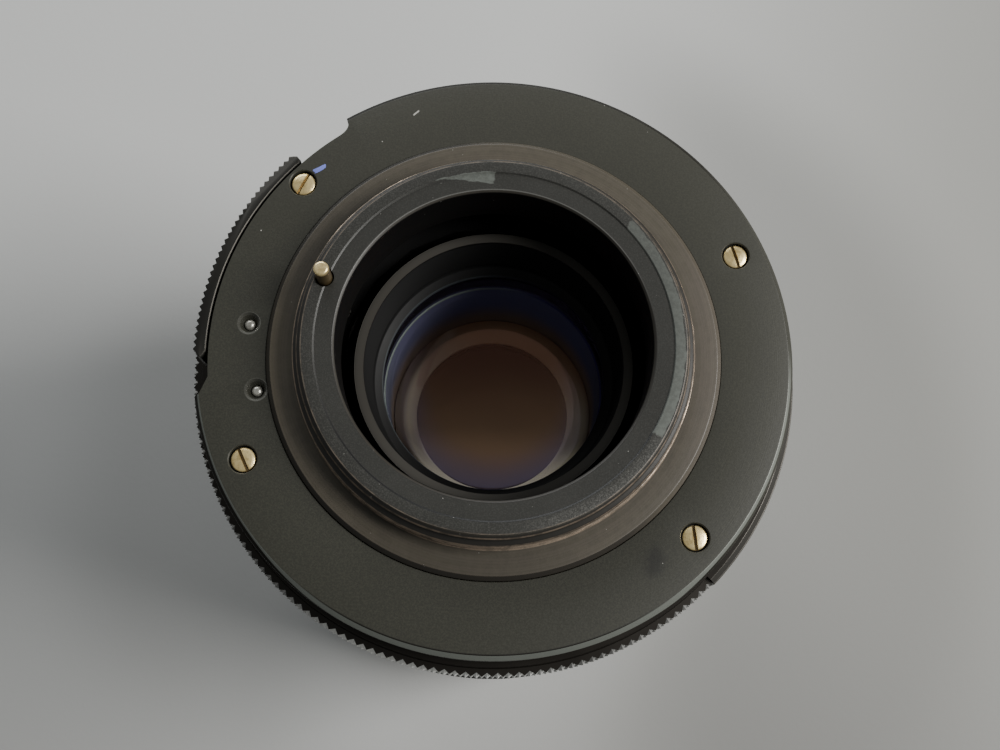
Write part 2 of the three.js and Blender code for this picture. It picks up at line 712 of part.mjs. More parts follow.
function opticsTube() {
  const t = TUBE;
  const body = turned([
    [t.innerR, t.from],
    [t.threadR, t.from],
    [t.threadR, t.threadTo],
    [t.outerR, t.threadTo],
    [t.outerR, t.to],
    [t.innerR, t.to],
  ], ROUND);
  const grooveDepth = 4;
  const grooveFrom = t.threadTo + 0.4;
  const grooveTo = t.to + 2;
  const grooves = KEY_ANGLES.map((angle) => {
    const middle = new THREE.Vector3(t.grooveR + grooveDepth / 2, 0, (grooveFrom + grooveTo) / 2);
    return box(grooveDepth, t.grooveW, grooveTo - grooveFrom, middle).rotateZ(angle * degrees);
  });
  return cut(body, ...grooves);
}

add('focus_ring', focusRing(), 'ringBlack');
add('focus_grip', tube(GRIP.innerR, FOCUS.outerR, GRIP.from, GRIP.to, ROUND), 'rubber');
add('focus_helicoid', focusHelicoid(), 'brass');
GRUB_ANGLES.forEach((angle, i) => {
  const screw = radialRod(FOCUS.screwR, FOCUS.screwFrom, FOCUS.screwTo, angle, FOCUS.grubZ);
  add(`focus_grub_screw_${i + 1}`, screw, 'steel');
});
add('optics_tube', opticsTube(), 'innerBlack');

// ---------------------------------------------------------------- front cell

function frontBarrel() {
  const f = FRONT;
  return turned([
    [f.filterR, 0],
    [f.rimR - f.bevel, 0],
    [f.rimR, f.bevel],
    [f.rimR, f.rimTop - f.bevel],
    [f.rimR - f.bevel, f.rimTop],
    [f.bodyR, f.rimTop],
    [f.bodyR, f.top],
    [f.innerR, f.top],
    [f.innerR, f.filterTo],
    [f.filterR, f.filterTo],
  ], ROUND);
}

// A tube with a lip inside its rear end that an element rests against.
function lensCell(c) {
  return turned([
    [c.innerR, c.from],
    [c.outerR, c.from],
    [c.outerR, c.to],
    [c.lipR, c.to],
    [c.lipR, c.lipFrom],
    [c.innerR, c.lipFrom],
  ]);
}

add('front_barrel', frontBarrel(), 'ringBlack');
add('name_ring', tube(NAME_RING.innerR, NAME_RING.outerR, NAME_RING.from, NAME_RING.to, ROUND), 'ringBlack');
add('front_cell', lensCell(FRONT_CELL), 'innerBlack');
add('element_spacer', tube(SPACER.innerR, SPACER.outerR, SPACER.from, SPACER.to), 'innerBlack');
add('inner_cell', lensCell(INNER_CELL), 'innerBlack');
Object.entries(ELEMENTS).forEach(([name, sizes]) => add(name, element(sizes), 'glass'));

export default lens;
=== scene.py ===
"""Looks of a screw mount camera lens that stands on its front rim, seen from its rear mount.

Lengths are metres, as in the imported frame. Outlines are written in millimetres as (radius, height)
and the frame's own sizes are read with extent(). Angles are degrees, counter-clockwise from +X.
"""
import json
import math

import bpy
from mathutils import Matrix, Vector


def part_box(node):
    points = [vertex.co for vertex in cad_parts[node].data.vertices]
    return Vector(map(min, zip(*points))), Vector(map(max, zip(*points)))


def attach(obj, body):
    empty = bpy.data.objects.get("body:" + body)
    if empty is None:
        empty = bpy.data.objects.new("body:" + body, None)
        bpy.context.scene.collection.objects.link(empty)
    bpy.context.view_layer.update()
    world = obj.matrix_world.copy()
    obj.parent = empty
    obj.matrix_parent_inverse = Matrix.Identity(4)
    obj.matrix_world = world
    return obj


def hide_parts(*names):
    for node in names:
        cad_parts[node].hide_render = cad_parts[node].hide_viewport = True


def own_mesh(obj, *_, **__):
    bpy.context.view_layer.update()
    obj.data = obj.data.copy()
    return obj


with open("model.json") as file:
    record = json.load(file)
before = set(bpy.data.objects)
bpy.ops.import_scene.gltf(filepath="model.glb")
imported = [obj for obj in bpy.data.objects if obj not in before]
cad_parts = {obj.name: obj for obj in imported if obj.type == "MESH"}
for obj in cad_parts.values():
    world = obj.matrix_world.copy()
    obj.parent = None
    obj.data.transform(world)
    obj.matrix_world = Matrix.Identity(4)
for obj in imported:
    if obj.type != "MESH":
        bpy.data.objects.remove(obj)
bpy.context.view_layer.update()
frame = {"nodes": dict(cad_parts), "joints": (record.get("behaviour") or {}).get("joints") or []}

MM = 0.001
TURN = 2 * math.pi
FINE_STEPS = 288         # steps round the large rings
INNER_STEPS = 192        # steps round inner rings and lenses


# ---------------- sizes read from the frame

def extent(node):
    """Outer radius, lowest and highest z of a round node, in millimetres."""
    low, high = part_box(node)
    return max(abs(low.x), high.x) / MM, low.z / MM, high.z / MM


def middle(node):
    """Centre of a node's box in millimetres."""
    low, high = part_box(node)
    return (low + high) / 2 / MM


PLATE_Z = extent("rear_cover")[2]
RIM_Z = extent("front_barrel")[1]


# ---------------- mesh helpers

def polar(r, angle, z=0.0):
    return (r * math.cos(math.radians(angle)), r * math.sin(math.radians(angle)), z)


def arc(r, start, end, steps):
    """Places along an arc, as (radius, angle)."""
    return [(r, start + (end - start) * k / steps) for k in range(steps + 1)]


def in_scene(name, data):
    obj = bpy.data.objects.new(name, data)
    bpy.context.scene.collection.objects.link(obj)
    return obj


def make_object(name, points, faces, material, sharp=32):
    """A mesh from points in millimetres, shaded smooth with edges above the sharp angle kept."""
    mesh = bpy.data.meshes.new(name)
    mesh.from_pydata([(x * MM, y * MM, z * MM) for x, y, z in points], [], faces)
    mesh.validate()
    mesh.shade_smooth()
    mesh.set_sharp_from_angle(angle=math.radians(sharp))
    mesh.materials.append(material)
    return in_scene(name, mesh)


def soften(corners, size=0.08, steps=3, closed=True):
    """Rounds each corner of an outline. A corner may carry its own size as a third number.

    An open outline keeps its two ends as they are.
    """
    outline = []
    last = len(corners) - 1
    for i, corner in enumerate(corners):
        here = Vector(corner[:2])
        before = Vector(corners[i - 1][:2])
        after = Vector(corners[(i + 1) % len(corners)][:2])
        wanted = corner[2] if len(corner) > 2 else size
        reach = min(wanted, 0.45 * (before - here).length, 0.45 * (after - here).length)
        if reach < 1e-4 or (not closed and i in (0, last)):
            outline.append(tuple(here))
            continue
        start = here + (before - here).normalized() * reach
        end = here + (after - here).normalized() * reach
        for k in range(steps + 1):
            t = k / steps
            outline.append(tuple((1 - t) ** 2 * start + 2 * t * (1 - t) * here + t * t * end))
    return outline


def soften_open(corners):
    """Softens the outline of a small turned piece that starts and ends on its axis."""
    return soften(corners, 0.04, 2, closed=False)


def outwards(points, faces):
    """Turns the faces of a closed mesh so that they face out."""
    volume = 0.0
    for face in faces:
        first = Vector(points[face[0]])
        for second, third in zip(face[1:-1], face[2:]):
            volume += first.dot(Vector(points[second]).cross(Vector(points[third])))
    return faces if volume > 0 else [list(reversed(face)) for face in faces]


def cells(rows, count):
    """The four corners of each cell of a closed grid of rows, with its row and column."""
    for row in range(rows):
        base, above = row * count, (row + 1) % rows * count
        for k in range(count):
            n = (k + 1) % count
            yield row, k, [base + k, base + n, above + n, above + k]


def skin(name, rows, material, sharp):
    """A closed surface through rings of matching points. The last ring joins the first."""
    points = [p for row in rows for p in row]
    faces = [corners for _, _, corners in cells(len(rows), len(rows[0]))]
    return make_object(name, points, outwards(points, faces), material, sharp)


def revolve(name, outline, material, steps=INNER_STEPS, sharp=32):
    """Turns a closed outline, or one that starts and ends on the axis, about the lens's axis."""
    points = []
    faces = []
    rows = []
    for r, z in outline:
        ring = [(0.0, 0.0, z)]
        if abs(r) > 1e-6:
            ring = [polar(r, 360 * k / steps, z) for k in range(steps)]
        rows.append([len(points) + k % len(ring) for k in range(steps)])
        points += ring
    on_axis = abs(outline[0][0]) < 1e-6
    for lower, upper in zip(rows, rows[1:] if on_axis else rows[1:] + rows[:1]):
        for k in range(steps):
            face = [lower[k - 1], lower[k], upper[k], upper[k - 1]]
            faces.append([v for i, v in enumerate(face) if v not in face[:i]])
    return make_object(name, points, outwards(points, faces), material, sharp)


def loft(name, layers, material, sharp=32):
    """A closed solid through layers of matching points, with flat ends."""
    count = len(layers[0])
    points = [p for layer in layers for p in layer]
    faces = [list(range(count)), list(range(len(points) - count, len(points)))[::-1]]
    for base in range(0, len(points) - count, count):
        for k in range(count):
            n = (k + 1) % count
            faces.append([base + n, base + k, base + count + k, base + count + n])
    return make_object(name, points, outwards(points, faces), material, sharp)


def evaluated_mesh(obj):
    return bpy.data.meshes.new_from_object(obj.evaluated_get(bpy.context.evaluated_depsgraph_get()))


def carve(obj, *cutters):
    """Cuts the cutters out of the object and removes them."""
    for cutter in cutters:
        modifier = obj.modifiers.new("cut", "BOOLEAN")
        modifier.operation = "DIFFERENCE"
        modifier.solver = "EXACT"
        modifier.object = cutter
    mesh = evaluated_mesh(obj)
    material = obj.data.materials[0]
    obj.modifiers.clear()
    obj.data = mesh
    mesh.materials.clear()
    mesh.materials.append(material)
    for polygon in mesh.polygons:
        polygon.material_index = 0
    mesh.shade_smooth()
    mesh.set_sharp_from_angle(angle=math.radians(32))
    for cutter in cutters:
        bpy.data.objects.remove(cutter)
    return obj


def turned_at(name, outline, material, place, steps=48, sharp=32):
    """A small turned piece on its own axis, set down at a place given in millimetres."""
    obj = revolve(name, outline, material, steps, sharp)
    obj.data.transform(Matrix.Translation(Vector(place) * MM))
    return obj


def radial_piece(name, outline, material, angle, z, steps=32):
    """A turned piece whose axis lies along a radius. Its outline's heights are radii of the lens."""
    obj = revolve(name, outline, material, steps)
    turn = Matrix.Rotation(math.radians(angle), 4, "Z") @ Matrix.Rotation(math.radians(90), 4, "Y")
    obj.data.transform(Matrix.Translation((0, 0, z * MM)) @ turn)
    return obj


def settle(obj, body, slot, *nodes):
    """Lets a piece ride on its body and stand for its CAD nodes."""
    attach(obj, body)
    if nodes:
        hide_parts(*nodes)
    return obj


def turned_ring(node, corners, material, body, slot, size=0.08, steps=FINE_STEPS):
    """A ring turned from softened corners, in place of one CAD node."""
    return settle(revolve(f"{node}_finish", soften(corners, size), material, steps), body, slot, node)


# ---------------- material helpers

class Value:
    """A number that varies over a piece. Arithmetic on it adds math nodes to the shader."""

    def __init__(self, shader, socket):
        self.shader = shader
        self.socket = socket

    def __add__(self, other):
        return self.shader.math("ADD", self, other)

    def __sub__(self, other):
        return self.shader.math("SUBTRACT", self, other)

    def __rsub__(self, other):
        return self.shader.math("SUBTRACT", other, self)

    def __mul__(self, other):
        return self.shader.math("MULTIPLY", self, other)

    def __truediv__(self, other):
        return self.shader.math("DIVIDE", self, other)

    def __abs__(self):
        return self.shader.math("ABSOLUTE", self)

    def less(self, other):
        """The difference, but never below 0."""
        return self.shader.math("SUBTRACT", self, other, clamp=True)

    def ramp(self, start, end):
        """0 up to start and 1 from end on, smooth between. It falls where start is above end."""
        return self.shader.ranged(self, "From", start, end, interpolation_type="SMOOTHSTEP")

    def onto(self, low, high):
        """Maps 0 to 1 onto low to high."""
        return self.shader.ranged(self, "To", low, high)

    def near(self, centre, half, soft):
        """1 within half of centre, fading over soft."""
        return abs(self - centre).ramp(half + soft, half)


def plain(value):
    """A value's socket, or the number itself."""
    return value.socket if isinstance(value, Value) else value


class Shader:
    """A principled material with a few procedural masks in the piece's own coordinates."""

    def __init__(self, name):
        self.material = bpy.data.materials.new(name)
        self.material.use_nodes = True
        self.tree = self.material.node_tree
        self.bsdf = self.tree.nodes["Principled BSDF"]
        self.output = self.tree.nodes["Material Output"]
        self.coords = self.node("ShaderNodeTexCoord").outputs["Object"]

    def node(self, kind, **settings):
        made = self.tree.nodes.new(kind)
        for key, value in settings.items():
            setattr(made, key, value)
        return made

    def put(self, value, socket):
        """Links a value to the socket, or sets a number or colour on it."""
        value = plain(value)
        if isinstance(value, bpy.types.NodeSocket):
            self.tree.links.new(value, socket)
        elif hasattr(value, "__len__"):
            socket.default_value = (*value, 1.0)[:len(socket.default_value)]
        else:
            socket.default_value = value

    def fill(self, made, **values):
        """Puts values on a node's inputs. An underscore in a name stands for a space."""
        for key, value in values.items():
            self.put(value, made.inputs[key.replace("_", " ")])
        return made

    def math(self, operation, *values, clamp=False):
        made = self.node("ShaderNodeMath", operation=operation, use_clamp=clamp)
        for value, socket in zip(values, made.inputs):
            self.put(value, socket)
        return Value(self, made.outputs[0])

    def most(self, first, second):
        return self.math("MAXIMUM", first, second)

    def ranged(self, value, side, low, high, **settings):
        made = self.node("ShaderNodeMapRange", **settings)
        self.fill(made, Value=value, **{f"{side}_Min": low, f"{side}_Max": high})
        return Value(self, made.outputs["Result"])

    def axes(self):
        """x, y, z and radius in millimetres, and the angle in degrees from -180 to 180."""
        split = self.fill(self.node("ShaderNodeSeparateXYZ"), Vector=self.coords)
        x, y, z = (Value(self, split.outputs[i]) * (1 / MM) for i in range(3))
        radius = self.math("SQRT", x * x + y * y)
        angle = self.math("ARCTAN2", y, x) * (360 / TURN)
        return x, y, z, radius, angle

    def noise(self, scale, detail=3.0, roughness=0.55, vector=None):
        made = self.fill(self.node("ShaderNodeTexNoise"), Vector=vector or self.coords,
                         Scale=scale, Detail=detail, Roughness=roughness)
        return Value(self, made.outputs["Fac"])

    def grain(self, radius, z, fine=9.0):
        """Fine circular tool marks: noise that varies across the radius and height only."""
        rings = self.fill(self.node("ShaderNodeCombineXYZ"), X=radius * fine, Y=z * fine)
        return self.noise(1.0, 2.0, 0.6, rings.outputs[0])

    def scratches(self, x, y, z):
        """Grain that runs one way, from coordinates scaled by three factors."""
        scaled = self.fill(self.node("ShaderNodeMapping"), Vector=self.coords, Scale=(x, y, z))
        return self.noise(1.0, 3.0, 0.6, scaled.outputs[0])

    def specks(self, scale, share, size=0.06):
        """Small specks of dust: some cells of a cell pattern hold a dot, up to size cells in radius."""
        cells = self.fill(self.node("ShaderNodeTexVoronoi"), Vector=self.coords, Scale=scale)
        split = self.fill(self.node("ShaderNodeSeparateColor"), Color=cells.outputs["Color"])
        chosen = self.math("LESS_THAN", split.outputs[0], share)
        spread = Value(self, split.outputs[1]).onto(0.4 * size, size)
        return chosen * self.math("LESS_THAN", cells.outputs["Distance"], spread)

    def mix(self, factor, first, second):
        made = self.node("ShaderNodeMix", data_type="RGBA")
        for key, value in (("Factor", factor), ("A", first), ("B", second)):
            self.put(value, made.inputs[key])
        return made.outputs["Result"]

    def over(self, colour, *layers):
        """Lays tints over a colour, each through its own mask."""
        for mask, tint in layers:
            colour = self.mix(mask, colour, tint)
        return colour

    def bump(self, height, distance_mm):
        made = self.fill(self.node("ShaderNodeBump"), Distance=distance_mm * MM, Height=height)
        self.put(made.outputs["Normal"], self.bsdf.inputs["Normal"])

    def finish(self, colour, roughness, metallic=0.0, specular=0.5):
        self.fill(self.bsdf, Base_Color=colour, Roughness=roughness, Metallic=metallic,
                  Specular_IOR_Level=specular)
        return self.material


def times(colour, factor):
    return [factor * c for c in colour]


# ---------------- sizes shared by shapes and looks

KNURL_TEETH = 184        # teeth round the whole aperture ring
GRIP_DROP = 0.57         # from the ring's rear face down to its grip
SCALE = {"from": -43.0, "to": 12.0, "radius": 33.64}    # smooth raised part of the aperture ring
INDEX_ANGLE = (SCALE["from"] + SCALE["to"]) / 2
DIMPLES = [(26.25, 175.4), (25.29, 191.7)]              # radius and angle
THREAD = {"pitch": 1.0, "depth": 0.61, "crest": 20.95, "lead_in": 1.7}
COVER_R = 31.85
COVER_BORE = 24.1
BEVEL_R = COVER_R - 0.56
BEVEL_LOW = PLATE_Z - 0.62
MOUNT_TOP = extent("mount_ring")[2]
THROAT_R = 16.38
MOUTH_R = THROAT_R + 0.28    # outer edge of the throat's chamfer
LEDGE_R = 18.48          # step between the two levels of the mount's rear face
FACE_R = 19.86           # outer edge of the rear face
THREAD_R = THREAD["crest"] - 0.55    # middle of the thread's flanks, with worn crests and painted shade in the grooves
SHOULDER_R = 24.04
SMOOTH_R = 32.9          # top edge of the aperture ring's smooth part
GLASS_SEAT_Z = 66.4
RETAINER_BORE = 12.8


# ---------------- materials

PLATE_BLACK = (0.0265, 0.0265, 0.0195)
RING_BLACK = (0.008, 0.008, 0.008)
BRONZE_BLACK = (0.048, 0.042, 0.030)
INNER_BLACK = (0.005, 0.005, 0.005)
BARE = (0.098, 0.107, 0.096)
DUST = (0.42, 0.41, 0.38)


def plate_material():
    """Satin black with dust, a smudge, a fleck, painted light towards the upper right, and a painted
    highlight of bare bright metal on the bevel at the bottom, with painted shade on the rest of the bevel.
    """
    s = Shader("satin_black_plate")
    x, y, z, radius, angle = s.axes()
    cloud = s.noise(60, 4)
    # painted highlight: bare bright metal over the bevel's whole width at the bottom, and along its inner
    # edge to both sides
    edge_band = radius.ramp(BEVEL_R - 0.04, BEVEL_R + 0.01) * z.ramp(BEVEL_LOW - 0.04, BEVEL_LOW + 0.02)
    # painted shade: a dark line along the bevel's inner corner at the bottom, and the rest of the bevel
    # darkened except at the right
    inner_corner_shade = radius.near(BEVEL_R - 0.02, 0.06, 0.05) * y.ramp(-22.0, -29.0)
    bevel_shade = edge_band * x.ramp(21.0, 28.0).onto(1.0, 0.15)
    highlight_reach = y.ramp(-29.5, -20.0).onto(COVER_R - 0.01, COVER_R - 0.39)
    highlight_reach = highlight_reach + x.ramp(8.0, 20.0).onto(0.0, 0.14)
    bevel_highlight = (radius - highlight_reach).ramp(0.05, -0.05) * edge_band.less(inner_corner_shade)
    bevel_highlight = bevel_highlight * s.noise(350, 4).onto(0.75, 1.0) * y.ramp(-30.0, -16.0).onto(1.0, 0.75)
    bevel_highlight = bevel_highlight * (y - x * 0.05).ramp(1.0, -7.0)
    # a smudge at the lower right, a fleck at the top and dust all over
    smudge = radius.near(27.4, 0.5, 1.6) * angle.near(-51.5, 1.4, 2.6) * s.noise(500, 4).ramp(0.35, 0.6)
    fleck_angle = 109.6
    slant = (angle - fleck_angle) * 0.22
    fleck = (radius + slant).near(28.99, 0.07, 0.05) * angle.near(fleck_angle, 0.55, 0.35)
    dust = s.most(s.specks(620, 0.16), s.specks(300, 0.12, 0.045))
    colour = s.mix(cloud.onto(0.2, 0.8), PLATE_BLACK, times(PLATE_BLACK, 1.3))
    colour = s.mix(s.noise(5200, 3).ramp(0.35, 0.7), times(PLATE_BLACK, 0.8), colour)
    colour = s.mix(smudge * 0.6, colour, (0.004, 0.004, 0.004))
    # painted light: the plate turns lighter towards the upper right
    upper_right_light = (x * 0.7 + y).ramp(-22.0, 30.0)
    colour = s.over(
        colour,
        (upper_right_light, s.mix(0.24, colour, (0.045, 0.044, 0.034))),
        (s.most(bevel_shade, inner_corner_shade) * 0.8, (0.005, 0.004, 0.003)),
        (bevel_highlight, (0.29, 0.31, 0.28)),
        (s.most(dust, fleck * 1.3) * 0.65, DUST),
    )
    # each dimple's rim catches the light on its lower right side
    for dimple_place in DIMPLES:
        centre_x, centre_y, _ = polar(*dimple_place)
        away_x, away_y = x - centre_x, y - centre_y
        away = s.math("SQRT", away_x * away_x + away_y * away_y)
        lit = (away_x - away_y).ramp(-1.0, 1.2).onto(0.35, 1.0)
        colour = s.mix(away.near(1.12, 0.09, 0.10) * lit, colour, (0.085, 0.085, 0.075))
    s.bump(s.grain(radius, z) * 0.7 + s.noise(2600, 2), 0.008)
    return s.finish(colour, cloud.onto(0.42, 0.50), bevel_highlight * 0.9, bevel_shade.less(bevel_highlight).onto(0.42, 0.08))


def bronze_material():
    """The mount ring: brown-black with rubbed thread crests and bare patches on the rear face, painted shade
    in its throat, thread grooves and the gap to the cover, and painted light on the shoulder's sides.
    """
    s = Shader("worn_bronze_black")
    x, y, z, radius, angle = s.axes()
    cloud = s.noise(90, 5)
    # rear face: gritty black, rubbed at the lower right, with painted shade along the step between its two
    # levels at the bottom
    on_face = z.ramp(MOUNT_TOP - 0.30, MOUNT_TOP - 0.2) * radius.ramp(THROAT_R + 0.12, THROAT_R + 0.42)
    grit = s.noise(7500, 3).ramp(0.42, 0.72) * radius.ramp(LEDGE_R + 0.02, LEDGE_R + 0.12).onto(0.55, 1.0)
    step = radius.near(LEDGE_R + 0.07, 0.08, 0.02) * y.ramp(0.0, -12.0)
    rub = radius.near(FACE_R - 0.46, 0.30, 0.55) * angle.near(-52.0, 16.0, 18.0)
    rub = rub * s.noise(8500, 4, 0.75).ramp(0.46, 0.66)
    face = s.over(
        s.mix(cloud, (0.014, 0.014, 0.012), (0.021, 0.021, 0.018)),
        (grit * 0.42, (0.075, 0.074, 0.066)),
        (step * 0.9, (0.003, 0.003, 0.003)),
        (rub * 0.5, (0.15, 0.147, 0.135)),
    )
    # shoulder: turned brown, with painted light making it paler to both sides and painted shade at the bottom
    brown = s.noise(900, 6, 0.7).ramp(0.3, 0.7)
    shoulder = s.over(
        s.mix(brown, BRONZE_BLACK, times(BRONZE_BLACK, 1.25)),
        (s.grain(radius, z, 5.0).ramp(0.42, 0.60) * 0.45, (0.072, 0.060, 0.047)),
        (x.ramp(-21.0, -23.3).onto(0.0, 0.5), (0.088, 0.074, 0.050)),
        (x.ramp(18.0, 23.0).onto(0.0, 0.22), (0.092, 0.074, 0.062)),
        (y.ramp(-16.0, -22.0) * x.ramp(14.0, 2.0) * 0.3, (0.012, 0.010, 0.007)),
    )
    # painted shade darkens the throat and the thread grooves; crests and the face's edge are rubbed
    throat = radius.ramp(THROAT_R + 0.12, THROAT_R + 0.02)
    threaded = (radius.near(THREAD_R, 0.42, 0.05) * z.ramp(PLATE_Z + 0.8, PLATE_Z + 1.0)
                * z.ramp(MOUNT_TOP - 0.04, MOUNT_TOP - 0.12))
    phase = s.math("FRACT", z / THREAD["pitch"] - angle / 360)
    flat = abs(phase - 0.5).ramp(0.38, 0.42) * radius.near(THREAD_R, 0.38, 0.05) * threaded
    face_edge = radius.near(FACE_R - 0.02, 0.05, 0.05) * z.ramp(MOUNT_TOP - 0.2, MOUNT_TOP - 0.05)
    crest = radius.near(THREAD["crest"], 0.05, 0.10)
    crest = s.most(s.most(crest, face_edge * 0.25), flat * 0.55)
    crest = crest * s.noise(800, 5, 0.65).ramp(0.36, 0.62).onto(0.25, 1.0)
    # bare patches with frayed borders, a long one on the right and a tapered one on the far side
    fray = s.noise(650, 4) - 0.5
    frayed_radius = radius + fray * 0.7
    frayed_angle = angle + fray * 9.0
    side_patch = (frayed_angle.near(7.5, 36.5, 0.8) * radius.ramp(LEDGE_R + 0.02, LEDGE_R + 0.08)
                  * frayed_radius.ramp(FACE_R - 0.20, FACE_R - 0.28) * angle.ramp(-30.0, 30.0).onto(1.0, 0.6))
    far_middle = (angle - 100.5) * 0.03 + 18.25
    far_half = angle.ramp(93.0, 111.0).onto(0.66, 0.04)
    far_patch = (abs(frayed_radius - far_middle) - far_half).ramp(0.06, -0.04)
    far_patch = frayed_angle.near(101.2, 8.6, 0.8) * far_patch * 0.9
    worn = s.noise(2200, 5, 0.7).ramp(0.40, 0.60).onto(0.72, 1.0)
    patch = on_face * s.most(side_patch, far_patch) * worn
    # painted shade on the throat's chamfer, and a painted highlight along its outer edge on the far side
    throat_chamfer_shade = radius.near(MOUTH_R - 0.11, 0.16, 0.06) * z.ramp(MOUNT_TOP - 0.6, MOUNT_TOP - 0.5)
    throat_edge_highlight = radius.near(MOUTH_R + 0.02, 0.04, 0.04) * y.ramp(2.0, 12.0)
    dust = s.most(s.specks(1100, 0.34, 0.055), s.specks(480, 0.22, 0.04))
    # the gap to the cover lies in shadow, except at the upper right
    gap = radius.near(SHOULDER_R - 0.22, 0.20, 0.04) * (x * 0.906 + y * 0.423).ramp(11.0, 4.0)
    colour = s.over(
        s.mix(on_face, shoulder, face),
        (throat_chamfer_shade * 0.6, (0.004, 0.004, 0.004)),
        (throat_edge_highlight * 0.5, (0.14, 0.14, 0.13)),
        (s.most(throat, threaded * 0.8), INNER_BLACK),
        (crest * 0.8, (0.42, 0.33, 0.25)),
        (patch, BARE),
        (dust * 0.6, DUST),
        (gap * 0.75, (0.008, 0.007, 0.006)),
    )
    s.bump(s.grain(radius, z, 7.0) * 0.5 + s.noise(2000, 3), 0.008)
    return s.finish(colour, cloud.onto(0.38, 0.5), crest * 0.85, throat.onto(0.45, 0.06))


def knurl_material():
    """Aperture ring: black land and sides, bare bright metal where the knurl is cut, with a painted highlight
    that keeps it brightest at the bottom.
    """
    s = Shader("knurled_ring")
    _, _, z, radius, angle = s.axes()
    top = extent("aperture_ring")[2]
    grip_top = top - GRIP_DROP
    sector = angle.near(INDEX_ANGLE, (SCALE["to"] - SCALE["from"]) / 2 - 0.1, 0.1)
    cut = z.ramp(grip_top, grip_top - 0.03) * z.ramp(grip_top - 5.4, grip_top - 5.2) * (1.0 - sector)
    chamfer = sector * (radius.ramp(SMOOTH_R + 0.02, SMOOTH_R + 0.06) * z.ramp(top - 0.58, top - 0.54))
    # painted highlight: the cut metal is brightest at the bottom and much dimmer elsewhere
    highlight_side = angle.near(-102.0, 10.0, 24.0).onto(0.22, 1.0)
    bright = cut * highlight_side * s.noise(500, 4).onto(0.75, 1.0)
    shade = s.mix(bright, (0.0075, 0.0065, 0.0055), (0.86, 0.87, 0.85))
    shade = s.mix(chamfer, shade, (0.016, 0.0155, 0.014))
    s.bump(s.noise(1800, 3), 0.003)
    s.put((1.0, 0.94, 0.85), s.bsdf.inputs["Specular Tint"])
    roughness = s.most(chamfer, s.noise(150)).onto(0.22, 0.45)
    return s.finish(shade, roughness, bright * 0.6, sector.onto(0.36, 0.5))


def black_material(name, cloud_scale, dark, light, grain, fine, height, rough, specular, specks=None):
    """A cloudy black with a fine surface. A grain value adds tool marks, specks add dust."""
    s = Shader(name)
    cloud = s.noise(cloud_scale, 4)
    shade = s.mix(cloud, dark, light)
    if specks:
        shade = s.mix(s.specks(*specks) * 0.4, shade, DUST)
    surface = s.noise(*fine)
    if grain:
        _, _, z, radius, _ = s.axes()
        surface = s.grain(radius, z, grain) + surface
    s.bump(surface, height)
    s.finish(shade, cloud.onto(*rough), 0.0, specular)
    return s


def gloss_material():
    """The slider's black, with a warm sheen."""
    s = black_material("gloss_black_slider", 120, (0.006, 0.006, 0.006), (0.010, 0.010, 0.009), None,
                       (900, 3), 0.003, (0.34, 0.46), 0.35, (700, 0.10, 0.05))
    s.put((1.0, 0.95, 0.84), s.bsdf.inputs["Specular Tint"])
    return s.material


def brass_material(name, light, dark, rough=(0.22, 0.36), slot_top=None, metallic=1.0):
    """Turned metal with stains and scratches. Below slot_top, in millimetres, painted shade darkens it."""
    s = Shader(name)
    cloud = s.noise(900, 4)
    shade = s.mix(s.noise(1500, 5, 0.65).ramp(0.42, 0.66) * 0.8, light, dark)
    if slot_top is not None:
        # painted shade below slot_top
        shade_below_top = s.axes()[2].ramp(slot_top - 0.04, slot_top - 0.16)
        shade = s.mix(shade_below_top * 0.9, shade, (0.10, 0.065, 0.03))
    s.bump(s.scratches(9000, 700, 3000) + cloud, 0.010)
    return s.finish(shade, cloud.onto(*rough), metallic)


def paint_material(name, colour):
    """Paint of a scale mark, a little uneven."""
    s = Shader(name)
    cloud = s.noise(700, 4)
    s.bump(cloud, 0.004)
    return s.finish(s.mix(cloud.onto(0.0, 0.6), colour, times(colour, 0.72)), 0.55, 0.0, 0.4)


def glass_material(name, tint, sheen_centre, sheen_edge, edge_radius, sheen):
    """Coated glass: mostly clear, with a coloured reflection that changes towards the edge, dimmed by painted
    shade on its far side and made stronger on its near side.
    """
    s = Shader(name)
    _, y, _, radius, _ = s.axes()
    smear = (s.noise(110, 3) - 0.5) * (0.22 * edge_radius)
    share = (radius + smear).ramp(0.55 * edge_radius, 0.98 * edge_radius)
    # painted shade dims the reflection on the far side; the near side reflects more strongly
    far_side = (y + smear).ramp(-0.62 * edge_radius, 0.35 * edge_radius)
    near_side = (y + smear).ramp(-0.36 * edge_radius, -0.72 * edge_radius)
    far_sheen_in_shade = [c * part for c, part in zip(sheen_centre, (0.45, 0.34, 0.38))]
    gloss = s.fill(s.node("ShaderNodeBsdfGlossy"),
                   Color=s.mix(share, s.mix(far_side, sheen_centre, far_sheen_in_shade), sheen_edge),
                   Roughness=s.noise(240, 4).onto(0.02, 0.07))
    through = s.fill(s.node("ShaderNodeBsdfTransparent"), Color=tint)
    edge = s.fill(s.node("ShaderNodeLayerWeight"), Blend=0.3)
    mixed = s.node("ShaderNodeMixShader")
    reflected = Value(s, edge.outputs["Facing"]).onto(sheen, 0.6) * near_side.onto(1.0, 1.8)
    for value, socket in zip((reflected, through.outputs[0], gloss.outputs[0]), mixed.inputs):
        s.put(value, socket)
    s.put(mixed.outputs[0], s.output.inputs["Surface"])
    return s.material


